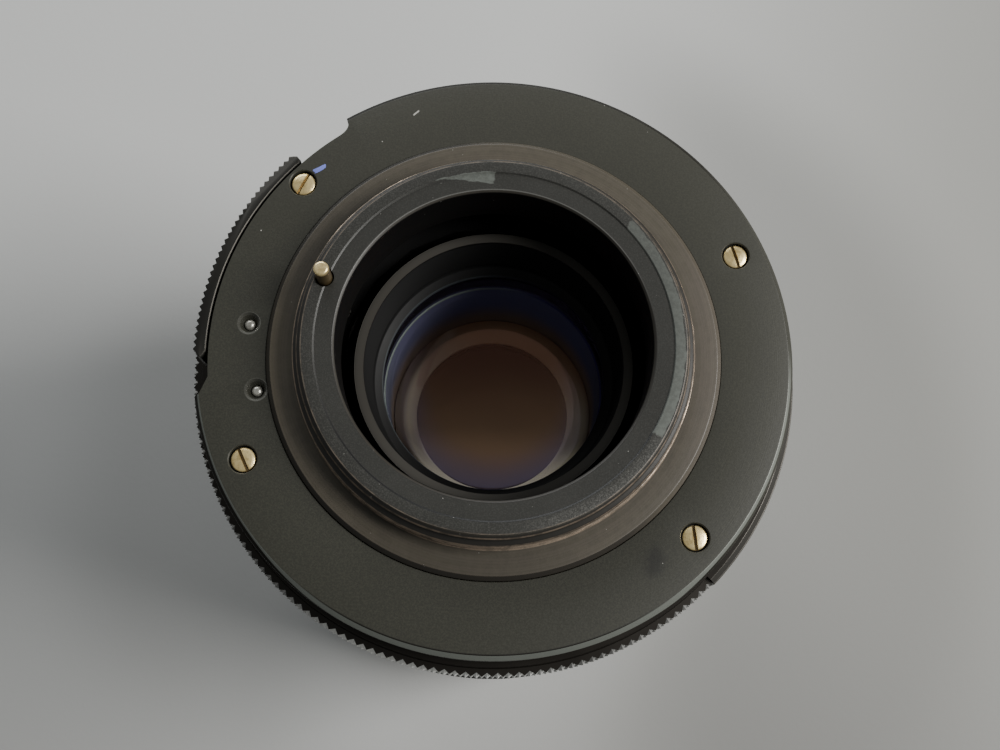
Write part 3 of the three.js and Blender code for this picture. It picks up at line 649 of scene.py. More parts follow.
def cell_material():
    """Rear cell: grey-black rim, black wall above the glass, painted reflections of the coating colours on
    the wall below it, and a painted highlight on the glass seat's lip.
    """
    s = Shader("rear_cell_black")
    x, y, z, radius, _ = s.axes()
    top = extent("rear_cell")[2]
    cloud = s.noise(160, 4)
    rim = z.ramp(top - 0.12, top - 0.03)
    inside = z.ramp(GLASS_SEAT_Z + 0.1, GLASS_SEAT_Z - 0.2) * radius.ramp(13.4, 13.2)
    # painted reflection of the coating colours on the wall below the glass: brown low down, navy higher up
    # and bluer on the far side
    coating_reflection = s.mix(y.ramp(0.0, 9.0), (0.20, 0.22, 0.36), (0.25, 0.27, 0.55))
    coating_reflection = s.mix(z.ramp(54.0, 61.0), (0.42, 0.34, 0.30), coating_reflection)
    # painted highlight along the glass seat's lip, pale cyan towards the left and violet-blue elsewhere
    side = (x - y * 0.5).ramp(-12.0, 2.0)
    lip_highlight = z.near(GLASS_SEAT_Z - 0.08, 0.10, 0.04) * radius.ramp(13.12, 13.05)
    shade = s.over(
        s.mix(cloud, INNER_BLACK, times(INNER_BLACK, 1.6)),
        (rim, (0.042, 0.039, 0.033)),
        (inside, coating_reflection),
        (lip_highlight, s.mix(side, (0.50, 0.62, 0.67), (0.12, 0.11, 0.42))),
        (s.specks(700, 0.15, 0.05) * 0.25, DUST),
    )
    s.bump(s.grain(radius, z, 6.0) + s.noise(1500, 3), 0.006)
    return s.finish(shade, cloud.onto(0.55, 0.7), 0.0, rim.onto(0.08, 0.35))


def stop_material():
    """Pale satin metal of the ring behind the iris, browner inside, with painted shade browning its far side
    and a painted streak of light across it.
    """
    s = Shader("pale_stop_ring")
    x, y, z, radius, angle = s.axes()
    cloud = s.noise(300, 4)
    inner = (radius - x * 0.05).ramp(12.5, 11.4)
    # painted shade: the far side turns brown
    far_side = (y + x * 0.35).ramp(3.0, 11.0)
    shade = s.mix(cloud, (0.88, 0.84, 0.68), (0.94, 0.90, 0.75))
    shade = s.mix(far_side, shade, (0.66, 0.42, 0.27))
    shade = s.mix(inner, s.mix(far_side, (0.28, 0.235, 0.22), (0.52, 0.32, 0.21)), shade)
    # painted light: a paler streak across the browned far side
    light_streak_angle = 139.0
    across = radius + (angle - light_streak_angle) * 0.052
    light_streak = across.near(11.3, 0.35, 0.5) * angle.near(light_streak_angle, 18.0, 9.0)
    shade = s.mix(light_streak * 0.8, shade, (0.72, 0.58, 0.47))
    # light that comes back up through the iris from the pale table reaches its near side
    glow = inner * y.ramp(-3.0, -9.8)
    s.fill(s.bsdf, Emission_Color=shade, Emission_Strength=glow * 0.25)
    s.bump(s.grain(radius, z, 8.0), 0.004)
    return s.finish(shade, cloud.onto(0.45, 0.6))


def retainer_material():
    """Black ring whose inner corner carries a painted highlight, bluish on one side and violet on the other.
    """
    s = Shader("retainer_black")
    x, y, z, radius, _ = s.axes()
    cloud = s.noise(160, 4)
    shade = s.mix(cloud, INNER_BLACK, times(INNER_BLACK, 1.6))
    # painted highlight on the inner corner, bluish grey towards the left and violet elsewhere
    side = (x - y * 0.4).ramp(-9.0, 3.0)
    corner = radius.ramp(RETAINER_BORE + 0.12, RETAINER_BORE + 0.06)
    shade = s.mix(corner, shade, s.mix(side, (0.035, 0.042, 0.045), (0.008, 0.008, 0.02)))
    s.bump(s.grain(radius, z, 6.0), 0.004)
    return s.finish(shade, cloud.onto(0.5, 0.65), 0.0, 0.2)


EDGE = retainer_material()
PLATE = plate_material()
CELL = cell_material()
STOP = stop_material()
BRONZE = bronze_material()
RING = black_material("semi_gloss_black_ring", 80, RING_BLACK, times(RING_BLACK, 1.4), 8.0, (2400, 2),
                      0.004, (0.30, 0.42), 0.6, (600, 0.10, 0.04)).material
KNURL = knurl_material()
GLOSS = gloss_material()
INNER = black_material("matt_inner_black", 140, INNER_BLACK, times(INNER_BLACK, 1.5), 6.0, (1500, 3),
                       0.006, (0.6, 0.8), 0.1).material
SCREW = brass_material("pale_screw_brass", (0.95, 0.76, 0.38), (0.56, 0.41, 0.17), (0.24, 0.38),
                       extent("cover_screw_1")[2] - 0.2, 0.8)
BRASS = brass_material("machined_brass", (0.52, 0.36, 0.14), (0.30, 0.19, 0.07))
STEEL = brass_material("turned_steel", (0.52, 0.50, 0.46), (0.30, 0.28, 0.25))
PIN_METAL = brass_material("pin_metal", (0.95, 0.78, 0.42), (0.60, 0.46, 0.22), (0.24, 0.36),
                           extent("diaphragm_pin")[2] - 0.3, 0.75)
RIVET = brass_material("dull_rivet_steel", (0.60, 0.59, 0.53), (0.26, 0.25, 0.22), (0.2, 0.34), None, 0.7)
RUBBER = black_material("grip_rubber", 200, (0.012, 0.012, 0.012), (0.024, 0.024, 0.023), None, (2200, 3),
                        0.01, (0.7, 0.88), 0.35).material
WHITE = paint_material("white_scale_paint", (0.72, 0.72, 0.68))
RED = paint_material("red_index_paint", (0.55, 0.05, 0.03))
BLUE = paint_material("blue_mark_paint", (0.15, 0.18, 0.54))


# ---------------- rear mount

SCREW_PLACES = [(24.6, 108), (139.7, 65), (206.2, 117), (318.4, 98)]    # angle, and the slot's direction
SCREW_RING = 28.4
PIN_PLACE = middle("diaphragm_pin")
PIN_AXIS = (PIN_PLACE.x, PIN_PLACE.y, 0)


def thread_rows(root_z, top_z):
    """Heights of the rows of the thread's surface."""
    rows_per_pitch = 16
    count = int((top_z - root_z) * rows_per_pitch / THREAD["pitch"])
    return [root_z + (top_z - root_z) * k / count for k in range(count + 1)]


def thread_radius(z, angle, root_z, top_z):
    """Radius of the thread at a height and angle, run out at both ends."""
    phase = (z / THREAD["pitch"] - angle / 360) % 1.0
    groove = max(0.0, min(1.0, 1.25 - abs(phase - 0.5) * 3.3))
    fade = min(1.0, max(0.0, (z - root_z) / 0.25))
    lead_in = 1.07 * max(0.0, 1.0 - (top_z - z) / THREAD["lead_in"])
    depth = THREAD["depth"] * groove * fade
    shallow = 0.45 * depth * min(1.0, (top_z - z) / 0.3)
    return THREAD["crest"] - max(depth, lead_in + shallow)


def mount_ring():
    _, bottom, top = extent("mount_ring")
    seat = PLATE_Z + 0.65
    thread_low = seat + 0.55
    shoulder = soften([
        (21.4, bottom), (26.1, bottom), (26.1, PLATE_Z - 2.9), (SHOULDER_R, PLATE_Z - 2.9),
        (SHOULDER_R, seat - 0.46, 0.04), (SHOULDER_R - 0.46, seat, 0.06), (20.9, seat, 0.12),
        (20.25, seat - 0.05, 0.12), (20.25, thread_low - 0.1, 0.12),
    ], 0.1)
    face = soften([
        (FACE_R, top - 0.05, 0.0), (FACE_R - 0.1, top, 0.06), (LEDGE_R + 0.14, top, 0.02),
        (LEDGE_R, top - 0.14, 0.02), (MOUTH_R, top - 0.14, 0.05), (THROAT_R, top - 0.40, 0.05),
        (THROAT_R, PLATE_Z - 2), (21.4, PLATE_Z - 2),
    ])
    angles = range(360)
    rows = [[polar(r, angle, z) for angle in angles] for r, z in shoulder]
    rows += [[polar(thread_radius(z, angle, thread_low, top), angle, z) for angle in angles]
             for z in thread_rows(thread_low, top - 0.02)]
    rows += [[polar(r, angle, z) for angle in angles] for r, z in face[1:]]
    ring = skin("mount_ring_finish", rows, BRONZE, 40)
    hole = turned_at("pin_hole_cutter", [
        (0, PLATE_Z - 3), (1.0, PLATE_Z - 3), (1.0, top - 0.12), (1.3, top + 0.3), (0, top + 0.3),
    ], STEEL, PIN_AXIS, 40)
    return settle(carve(ring, hole), "barrel", "mount_bronze_black", "mount_ring")


def notch_outline():
    """Plan of the cut-out for the slider: an S-shaped upper end and a slanted lower end."""
    inner_r, outer_r = 30.2, 33.5
    start, end = 126.9, 187.4            # the cut-out's floor
    corner_angle = 123.55                # where the S leaves the cover's edge
    places = arc(inner_r, start, end, 72) + [(31.2, 190.6)]
    places += arc(outer_r, 192.5, 121.9, 16)[:-1] + [(outer_r, 122.6)]
    points = [polar(*place) for place in places]
    corner, root = Vector(polar(31.5, corner_angle)), Vector(polar(inner_r, start))
    pull_a = corner - Vector(polar(0.95, corner_angle))
    pull_b = root - Vector(polar(0.95, start + 90))
    for k in range(9):
        t = k / 9
        points.append(tuple((1 - t) ** 3 * corner + 3 * (1 - t) ** 2 * t * pull_a
                            + 3 * (1 - t) * t * t * pull_b + t ** 3 * root))
    return points


def rear_cover():
    _, bottom, top = extent("rear_cover")
    under = top - 2.5
    body = revolve("rear_cover_finish", soften([
        (COVER_BORE, under), (30.5, under), (30.5, bottom), (COVER_R, bottom, 0.1),
        (COVER_R, BEVEL_LOW, 0.10), (BEVEL_R, top, 0.08), (COVER_BORE, top, 0.10),
    ], 0.1), PLATE, FINE_STEPS)
    plan = notch_outline()
    cutters = [loft("notch_cutter", [[(x, y, z) for x, y, _ in plan] for z in (bottom - 2, top + 2)], PLATE)]
    for angle, _ in SCREW_PLACES:
        cutters.append(turned_at("screw_cutter", [
            (0, under - 1), (0.95, under - 1), (0.95, top - 0.95), (1.47, top - 0.95),
            (1.47, top - 0.10), (1.75, top + 0.18), (0, top + 0.18),
        ], PLATE, polar(SCREW_RING, angle)))
    for place in DIMPLES:
        cutters.append(turned_at("dimple_cutter", [
            (0, top - 2.1), (0.62, top - 2.1), (0.66, top - 0.75), (1.20, top + 0.02),
            (1.30, top + 0.2), (0, top + 0.2),
        ], PLATE, polar(*place)))
    return settle(carve(body, *cutters), "barrel", "cover_black", "rear_cover")


def cover_screw(index, slot_angle):
    """A slotted cheese head, slightly domed, with a turned rim."""
    node = f"cover_screw_{index}"
    place = middle(node)
    low, high = (corner.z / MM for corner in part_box(node))
    seat, top = high - 0.80, high - 0.02
    head = turned_at(f"{node}_finish", soften_open([
        (0, low), (0.7, low), (0.7, seat), (1.29, seat), (1.29, top - 0.26), (1.20, top - 0.16),
        (0.92, top - 0.08), (0.5, top - 0.02), (0, top),
    ]), SCREW, (place.x, place.y, 0), 56)
    width, depth = 0.17, 0.34
    slot = loft("slot_cutter", [
        [rotated(x, y, slot_angle, place, z) for x, y in ((-2, -w), (2, -w), (2, w), (-2, w))]
        for z, w in ((top - depth, width), (top - 0.03, width), (top + 0.2, width + 0.16))
    ], SCREW)
    return settle(carve(head, slot), "barrel", "screw_brass", node)


def rotated(x, y, angle, place, z):
    c, s, _ = polar(1.0, angle)
    return (place.x + c * x - s * y, place.y + s * x + c * y, z)


def cover_rivet(index, r, angle):
    """A small domed steel pin at the bottom of a dimple."""
    node = f"cover_rivet_{index}"
    low, top = (corner.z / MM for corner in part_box(node))
    rivet = turned_at(f"{node}_finish", [
        (0, low), (0.59, low), (0.59, top - 0.45), (0.55, top - 0.25), (0.42, top - 0.09),
        (0.22, top - 0.02), (0, top),
    ], RIVET, polar(r, angle), 32, 60)
    return settle(rivet, "barrel", "steel", node)


SLIDER = {"from": 136.3, "to": 183.5, "inner": 30.46, "tip": 31.88, "root": 31.58, "pitch": 0.83}


def slider_tab():
    """The serrated tab of the auto and manual slider, with its foot below the plate."""
    _, bottom, top = extent("auto_manual_slider")
    start, end, inner = SLIDER["from"], SLIDER["to"], SLIDER["inner"]
    centre = (start + end) / 2
    middle_r = 31.1
    teeth = round(math.radians(end - start) * 31.8 / SLIDER["pitch"])
    plan = [(SLIDER["tip"] if k % 2 else SLIDER["root"], angle)
            for k, (_, angle) in enumerate(arc(0, start + 0.5, end - 1.1, 2 * teeth))]
    plan += [(31.35, end - 0.35), (31.0, end - 0.1), (30.75, end - 0.6)]
    plan += arc(inner, end - 1.4, start + 0.6, 60) + [(30.66, start + 0.1), (31.3, start)]

    def layer(z, inset):
        """The plan drawn in by the inset on every side."""
        squeeze = 1 - inset / 12.5
        return [polar(r + max(-inset, min(inset, middle_r - r)), centre + (angle - centre) * squeeze, z)
                for r, angle in plan]

    tab = loft("auto_manual_slider_tab", [
        layer(bottom, 0.08), layer(bottom + 0.08, 0.0), layer(top - 0.20, 0.0), layer(top - 0.06, 0.06),
        layer(top, 0.16),
    ], GLOSS, 30)
    foot_plan = arc(27.6, 154, 178, 24) + arc(30.6, 178, 154, 24)
    foot = loft("auto_manual_slider_foot", [[polar(*place, z) for place in foot_plan]
                                            for z in (PLATE_Z - 5.4, PLATE_Z - 3.0)], INNER)
    settle(foot, "auto_manual_slider", "gloss_black")
    return settle(tab, "auto_manual_slider", "gloss_black", "auto_manual_slider")


def blue_mark():
    """A dab of blue paint between the upper screw and the cut-out."""
    start, end = Vector(polar(28.52, 136.3)), Vector(polar(28.20, 133.4))
    centre = (start + end) / 2
    along = (end - start) / 2
    across = Vector((-along.y, along.x, 0)).normalized() * 0.25
    steps = 28
    rim = []
    for k in range(steps):
        t = TURN * k / steps
        wobble = 1 + 0.10 * math.sin(3 * t + 1) + 0.06 * math.sin(7 * t)
        u, v = (math.copysign(abs(part) ** 0.4, part) * wobble for part in (math.cos(t), math.sin(t)))
        rim.append(along * u + across * v)
    layers = [[tuple((centre + p * share).xy) + (PLATE_Z + lift,) for p in rim]
              for share, lift in ((1, 0.001), (1, 0.012), (0.85, 0.03))]
    return settle(loft("blue_paint_mark", layers, BLUE), "barrel", "cover_black")


def diaphragm_pin():
    bottom, top = (corner.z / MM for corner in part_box("diaphragm_pin"))
    collar = PLATE_Z - 4.1
    pin = turned_at("diaphragm_pin_finish", soften_open([
        (0, bottom), (0.64, bottom), (0.8, bottom + 0.3), (0.8, collar), (1.6, collar),
        (1.6, collar + 0.8), (0.8, collar + 0.8), (0.8, top - 0.24, 0.12), (0.64, top - 0.04, 0.1),
        (0, top),
    ]), PIN_METAL, PIN_AXIS, 48, 50)
    return settle(pin, "diaphragm_pin", "steel", "diaphragm_pin")


def pin_spring():
    """The coil under the pin's collar. It rides with the pin."""
    low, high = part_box("pin_return_spring")
    bottom, top = low.z / MM, high.z / MM
    coil_r, wire_r, turns = 1.28, 0.16, 5
    steps, sides = 24 * turns, 8
    layers = []
    for k in range(steps + 1):
        z = bottom + wire_r + (top - bottom - 2 * wire_r) * k / steps
        layers.append([])
        for side in range(sides):
            out, up, _ = polar(wire_r, 360 * side / sides)
            x, y, _ = polar(coil_r + out, 360 * turns * k / steps)
            layers[-1].append((PIN_PLACE.x + x, PIN_PLACE.y + y, z + up))
    coil = loft("pin_return_spring_coil", layers, STEEL, 60)
    settle(coil, "diaphragm_pin", "steel", "pin_return_spring")
    press = next(joint for joint in frame["joints"] if joint["name"] == "pin_press")["range_m"][1]
    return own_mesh(coil, "pin_press", axis=(0, 0, 1), anchor=(PIN_PLACE.x * MM, PIN_PLACE.y * MM, high.z),
                     keep=1 - press / (high.z - low.z))


mount_ring()
rear_cover()
for number, (_, slot_direction) in enumerate(SCREW_PLACES, 1):
    cover_screw(number, slot_direction)
for number, dimple in enumerate(DIMPLES, 1):
    cover_rivet(number, *dimple)
slider_tab()
blue_mark()
diaphragm_pin()
pin_spring()


# ---------------- aperture ring

KNURL_SIZES = {"tip": 33.60, "valley": 33.04, "notch": 32.98, "land": 33.42}
GRIP_ROWS = 9


def knurl_columns(half):
    """Angle, number and smoothness of each column. The smooth part's ends have two columns each."""
    columns = []
    first, last = round(SCALE["from"] / half), round(SCALE["to"] / half)
    for k in range(2 * KNURL_TEETH):
        signed = k if k < KNURL_TEETH else k - 2 * KNURL_TEETH
        if signed == last:
            columns.append((k * half - 0.06, k, True))
        columns.append((k * half, k, first < signed < last))
        if signed == first:
            columns.append((k * half + 0.06, k, True))
    return columns


def knurl_radius(k, row):
    """Radius of a grip row, or of the land above the grip where row is None."""
    if row is None:
        return KNURL_SIZES["land"] if (k + GRIP_ROWS) % 2 else KNURL_SIZES["notch"]
    if (k + row) % 2:
        return KNURL_SIZES["land"] + 0.02 if row == GRIP_ROWS else KNURL_SIZES["tip"]
    return KNURL_SIZES["notch"] if row == GRIP_ROWS else KNURL_SIZES["valley"]


def aperture_ring():
    """One closed skin. Its grip rows alternate between tips and valleys, as crossed grooves leave them."""
    _, bottom, top = extent("aperture_ring")
    row_step = math.pi * KNURL_SIZES["tip"] / KNURL_TEETH
    grip_top = top - GRIP_DROP - 0.05
    grip_bottom = grip_top - GRIP_ROWS * row_step
    raised_r = SCALE["radius"]
    # each row: its radius or None where the knurl sets it, its height, its radius on the smooth part
    rows = [
        (30.4, bottom, 30.4), (32.5, bottom, 32.5), (32.6, bottom + 0.1, 33.5),
        (32.6, bottom + 0.5, raised_r), (32.6, grip_bottom - 0.35, raised_r),
        (32.7, grip_bottom - 0.25, raised_r),
    ]
    first_grip = len(rows)
    rows += [(None, grip_bottom + k * row_step, raised_r) for k in range(GRIP_ROWS + 1)]
    rows += [
        (None, grip_top + 0.05, 33.6), (32.60, grip_top + 0.10, 33.5), (32.45, top - 0.04, SMOOTH_R + 0.08),
        (32.38, top, SMOOTH_R), (30.5, top, 30.5), (30.4, top - 0.1, 30.4),
    ]
    columns = knurl_columns(180 / KNURL_TEETH)
    points = []
    for row, (plain_r, z, smooth_r) in enumerate(rows):
        grip_row = row - first_grip if row - first_grip <= GRIP_ROWS else None
        for angle, k, smooth in columns:
            knurl_r = knurl_radius(k, grip_row) if plain_r is None else plain_r
            points.append(polar(smooth_r if smooth else knurl_r, angle, z))
    faces = []
    for row, column, (a, b, c, d) in cells(len(rows), len(columns)):
        if not first_grip <= row < first_grip + GRIP_ROWS:
            faces.append([a, b, c, d])
        elif (columns[column][1] + row - first_grip) % 2:
            faces += [[a, b, d], [b, c, d]]
        else:
            faces += [[a, b, c], [a, c, d]]
    ring = make_object("aperture_ring_finish", points, outwards(points, faces), KNURL, 14)
    return settle(ring, "aperture_ring", "ring_black", "aperture_ring")


def painted_text(name, text, radius, angle, z, height, body):
    """Paint-filled characters lying on a cylinder, read from outside with the front rim up."""
    curve = bpy.data.curves.new(name, "FONT")
    curve.body = text
    curve.size = height
    curve.align_x = curve.align_y = "CENTER"
    curve.extrude = 0.02
    curve.resolution_u = 4
    holder = in_scene(name + "_text", curve)
    mesh = evaluated_mesh(holder)
    bpy.data.objects.remove(holder)
    for vertex in mesh.vertices:
        x, y, lift = vertex.co
        vertex.co = Vector(polar(radius + 0.01 + lift, angle - math.degrees(x / radius), z - y)) * MM
    mesh.materials.clear()
    mesh.materials.append(WHITE)
    return settle(in_scene(name, mesh), body, "ring_black")


def painted_line(name, radius, angle, low, high, width, body, material=WHITE):
    """A straight line along the lens on a cylinder."""
    half = math.degrees(width / 2 / radius)
    corners = [(angle - half, low), (angle + half, low), (angle + half, high), (angle - half, high)]
    layers = [[polar(r, *corner) for corner in corners] for r in (radius - 0.03, radius + 0.03)]
    return settle(loft(name, layers, material), body, "ring_black")


STOPS = ["2.8", "4", "5.6", "8", "11", "16", "22"]
STOP_PITCH = 8.0


def aperture_scale():
    bottom = extent("aperture_ring")[1]
    radius = SCALE["radius"]
    for k, stop in enumerate(STOPS):
        angle = INDEX_ANGLE + (k - 3) * STOP_PITCH
        painted_text(f"aperture_mark_{k + 1}", stop, radius, angle, bottom + 4.6, 3.0, "aperture_ring")
        painted_line(f"aperture_line_{k + 1}", radius, angle, bottom + 0.9, bottom + 2.2, 0.28,
                     "aperture_ring")


aperture_ring()
aperture_scale()


# ---------------- index and focus rings

def index_ring():
    outer, bottom, top = extent("index_ring")
    turned_ring("index_ring", [
        (30.5, bottom), (outer - 0.2, bottom, 0.1), (outer, bottom + 0.2, 0.1), (outer, top - 0.4, 0.1),
        (outer - 0.4, top, 0.1), (30.5, top),
    ], RING, "barrel", "ring_black")
    line_low = bottom + 0.5
    painted_line("index_line", outer, INDEX_ANGLE, line_low, top - 0.6, 0.45, "barrel", RED)
    for side, side_name in ((-1, "left"), (1, "right")):
        for step, stop in enumerate(STOPS[3:], 1):
            angle = INDEX_ANGLE + side * (2.2 + 3.9 * step)
            mark = f"{stop}_{side_name}"
            painted_line(f"depth_line_{mark}", outer, angle, line_low, line_low + 1.6, 0.22, "barrel")
            painted_text(f"depth_mark_{mark}", stop, outer, angle, line_low + 3.2, 1.9, "barrel")


DISTANCES = [("1.5", 0.0), ("2", 34.0), ("3", 66.0), ("5", 92.0), ("10", 111.0), ("30", 123.0)]
GRIP_RIBS = 72


def direction(place):
    return math.degrees(math.atan2(place.y, place.x))


def focus_ring():
    outer, bottom, top = extent("focus_ring")
    grip_low, grip_high = extent("focus_grip")[1] - 0.2, extent("focus_grip")[2] + 0.2
    scale_r = 33.1
    body = revolve("focus_ring_finish", soften([
        (31.1, bottom), (outer - 0.4, bottom, 0.1), (outer, bottom + 0.4, 0.1), (outer, bottom + 3.0),
        (outer - 0.3, bottom + 3.2), (outer - 0.3, bottom + 3.6), (outer, bottom + 3.8),
        (outer, grip_low, 0.1), (32.5, grip_low), (32.5, grip_high), (scale_r, grip_high, 0.1),
        (scale_r, grip_high + 1.2, 0.06), (scale_r - 0.25, grip_high + 1.35, 0.06),
        (scale_r - 0.25, grip_high + 1.75, 0.06), (scale_r, grip_high + 1.9, 0.06),
        (scale_r, top - 0.4, 0.1), (scale_r - 0.4, top, 0.1), (31.1, top),
    ]), RING, FINE_STEPS)
    cutters = []
    for k in range(1, 4):
        place = middle(f"focus_grub_screw_{k}")
        cutters.append(radial_piece("grub_cutter", [(0, 30.0), (0.9, 30.0), (0.9, 34.5), (0, 34.5)],
                                    RING, direction(place), place.z))
    settle(carve(body, *cutters), "focus_ring", "ring_black", "focus_ring")
    for label, offset in DISTANCES:
        angle = INDEX_ANGLE - DISTANCES[-1][1] + offset
        painted_text(f"distance_mark_{label}", label, scale_r, angle, top - 4.6, 2.6, "focus_ring")
        painted_line(f"distance_line_{label}", scale_r, angle, top - 2.2, top - 0.9, 0.24, "focus_ring")
    painted_text("distance_mark_far", "∞", scale_r, INDEX_ANGLE, top - 4.6, 3.6, "focus_ring")


def focus_grip():
    """A rubber sleeve with blocks between crossed grooves."""
    outer, bottom, top = extent("focus_grip")
    outer -= 0.02
    inner, groove = 32.65, outer - 0.9
    columns = [((k + share) * 360 / GRIP_RIBS, high) for k in range(GRIP_RIBS)
               for share, high in ((0.0, False), (0.08, True), (0.72, True), (0.80, False))]
    bands = 5
    band = (top - bottom - 0.8) / bands
    # each row: its radius, its height, whether it's cut by the lengthwise grooves
    rows = [(inner, bottom, False), (groove, bottom, False)]
    for k in range(bands):
        low = bottom + 0.4 + k * band
        rows += [(groove, low + 0.02, False), (outer, low + 0.14, True),
                 (outer, low + band - 0.68, True), (groove, low + band - 0.55, False)]
    rows += [(groove, top - 0.46, False), (outer, top - 0.40, False), (outer, top - 0.10, False),
             (outer - 0.1, top, False), (inner, top, False)]
    rings = [[polar(groove if cut and not high else r, angle, z) for angle, high in columns]
             for r, z, cut in rows]
    grip = skin("focus_grip_finish", rings, RUBBER, 40)
    return settle(grip, "focus_ring", "grip_rubber", "focus_grip")


def grub_screw(k):
    node = f"focus_grub_screw_{k}"
    place = middle(node)
    angle = direction(place)
    screw = radial_piece(f"{node}_finish", soften_open([
        (0, 31.2), (0.74, 31.2), (0.74, 32.72, 0.1), (0, 32.78),
    ]), STEEL, angle, place.z)
    slot = loft("slot_cutter", [[(r, -1.0, -0.12), (r, 1.0, -0.12), (r, 1.0, 0.12), (r, -1.0, 0.12)]
                                for r in (32.4, 33.0)], STEEL)
    turn = Matrix.Rotation(math.radians(angle), 4, "Z")
    slot.data.transform(Matrix.Translation((0, 0, place.z * MM)) @ turn)
    return settle(carve(screw, slot), "focus_ring", "steel", node)


index_ring()
focus_ring()
focus_grip()
for number in range(1, 4):
    grub_screw(number)


# ---------------- front

def front_barrel():
    outer, bottom, top = extent("front_barrel")
    thread_top, thread_pitch, turns = bottom + 5.2, 0.75, 6
    corners = [
        (outer - 0.5, bottom, 0.15), (outer, bottom + 0.5, 0.15), (outer, bottom + 4.4, 0.06),
        (outer - 0.25, bottom + 4.6, 0.06), (outer - 0.25, bottom + 5.0, 0.06), (outer, bottom + 5.2, 0.06),
        (outer, bottom + 9.3, 0.12), (outer - 0.5, bottom + 9.8, 0.12), (30.6, bottom + 9.8),
        (30.6, top), (28.0, top), (28.0, thread_top + 0.2),
    ]
    for k in range(turns):
        z = thread_top - k * thread_pitch
        corners += [(27.5, z, 0.03), (27.85, z - thread_pitch / 2, 0.03)]
    corners += [(27.5, bottom + 0.6, 0.05), (27.9, bottom, 0.1)]
    return turned_ring("front_barrel", corners, RING, "optical_block", "ring_black")


def name_ring():
    outer, bottom, top = extent("name_ring")
    return turned_ring("name_ring", [
        (24.3, bottom + 1.0, 0.05), (24.9, bottom), (25.1, bottom, 0.03), (25.2, bottom + 0.12, 0.03),
        (25.5, bottom + 0.12, 0.03), (25.6, bottom, 0.03), (outer, bottom), (outer, top), (24.3, top),
    ], RING, "optical_block", "ring_black")


def lens_face(radius, axis_z, rim_z, steps=14):
    """Half the section of a spherical face, from the axis to the rim."""
    sag = rim_z - axis_z
    curve = (radius ** 2 + sag ** 2) / (2 * abs(sag))
    places = [radius * k / steps for k in range(steps + 1)]
    return [(r, axis_z + math.copysign(curve - math.sqrt(curve ** 2 - r ** 2), sag)) for r in places]


# radius, then z on the axis and at the rim of the front face and of the rear face
ELEMENTS = {
    "front_element": (24.3, (8.0, 12.4), (14.6, 14.2)),
    "second_element": (24.3, (17.4, 16.7), (20.4, 21.8)),
    "third_element": (18.7, (28.4, 31.6), (34.6, 35.9)),
    "rear_element": (14.1, (67.6, 66.7), (70.3, 68.8)),
}
REAR_GLASS = glass_material("rear_coated_glass", (1.0, 0.985, 0.94), (1.0, 0.66, 0.44), (0.58, 0.50, 0.78),
                            13.0, 0.115)
FRONT_GLASS = glass_material("front_coated_glass", (0.9, 0.86, 0.78), (0.62, 0.34, 0.26), (0.3, 0.22, 0.6),
                             24.0, 0.08)
INNER_GLASS = glass_material("inner_coated_glass", (0.9, 0.85, 0.75), (0.45, 0.26, 0.14), (0.2, 0.2, 0.4),
                             20.0, 0.06)


def lens_element(node, material):
    radius, front, rear = ELEMENTS[node]
    outline = lens_face(radius, *front) + list(reversed(lens_face(radius, *rear)))
    glass = revolve(f"{node}_glass", outline, material, 128, 30)
    return settle(glass, "optical_block", "coated_glass", node)


front_barrel()
name_ring()
lens_element("front_element", FRONT_GLASS)
lens_element("second_element", INNER_GLASS)
lens_element("third_element", INNER_GLASS)
lens_element("rear_element", REAR_GLASS)


# ---------------- rear cell

def rear_cell():
    outer, bottom, top = extent("rear_cell")
    retainer_top = extent("rear_retainer")[2]
    bore, seat_r = 12.9, 14.15
    ribs = [(14.4, top)]
    rib_pitch = 0.42
    count = int((top - 0.4 - retainer_top) / rib_pitch)
    for k in range(count):
        z = top - 0.35 - k * rib_pitch
        r = 14.36 - 0.55 * k / count
        ribs += [(r, z), (r + 0.16, z - rib_pitch * 0.55)]
    outside = soften([
        (bore, bottom), (outer, bottom), (outer, bottom + 1.4), (15.46, bottom + 1.4),
        (15.46, top - 0.1, 0.08), (15.36, top, 0.08),
    ], 0.06)
    inside = soften([(seat_r, retainer_top + 0.1), (seat_r, GLASS_SEAT_Z), (bore, GLASS_SEAT_Z)], 0.05)
    body = revolve("rear_cell_finish", outside + ribs + inside, CELL, INNER_STEPS, 28)
    return settle(body, "optical_block", "inner_black", "rear_cell")


def rear_retainer():
    outer, bottom, top = extent("rear_retainer")
    return turned_ring("rear_retainer", [
        (RETAINER_BORE, bottom + 0.35), (13.2, bottom), (outer, bottom), (outer, top), (13.7, top, 0.06),
        (RETAINER_BORE, top - 0.6, 0.06),
    ], EDGE, "optical_block", "inner_black", 0.05, INNER_STEPS)


def stop_ring():
    _, bottom, top = extent("stop_ring")
    return turned_ring("stop_ring", [
        (9.95, bottom), (12.8, bottom), (12.8, top), (11.6, top), (9.95, top - 0.9),
    ], STOP, "optical_block", "steel", 0.05, INNER_STEPS)


rear_cell()
rear_retainer()
stop_ring()


# ---------------- carried-over inner pieces

CARRIED = [
    (BRASS, ["focus_key_1", "focus_key_2", "preset_ring", "iris_cam_ring", "focus_helicoid"]),
    (STEEL, ["click_ball", "click_spring", "lever_pivot_pin", "preset_screw", "stop_down_lever"]),
    (INNER, ["main_barrel", "mechanism_plate", "optics_tube", "front_cell", "element_spacer", "inner_cell",
             "iris_housing"]),
    (STEEL, [f"iris_blade_{k}" for k in range(1, 7)]),
]
for carried_material, nodes in CARRIED:
    for node_name in nodes:
        node_mesh = frame["nodes"][node_name].data
        node_mesh.materials.clear()
        node_mesh.materials.append(carried_material)


# ---------------- stage, light and camera

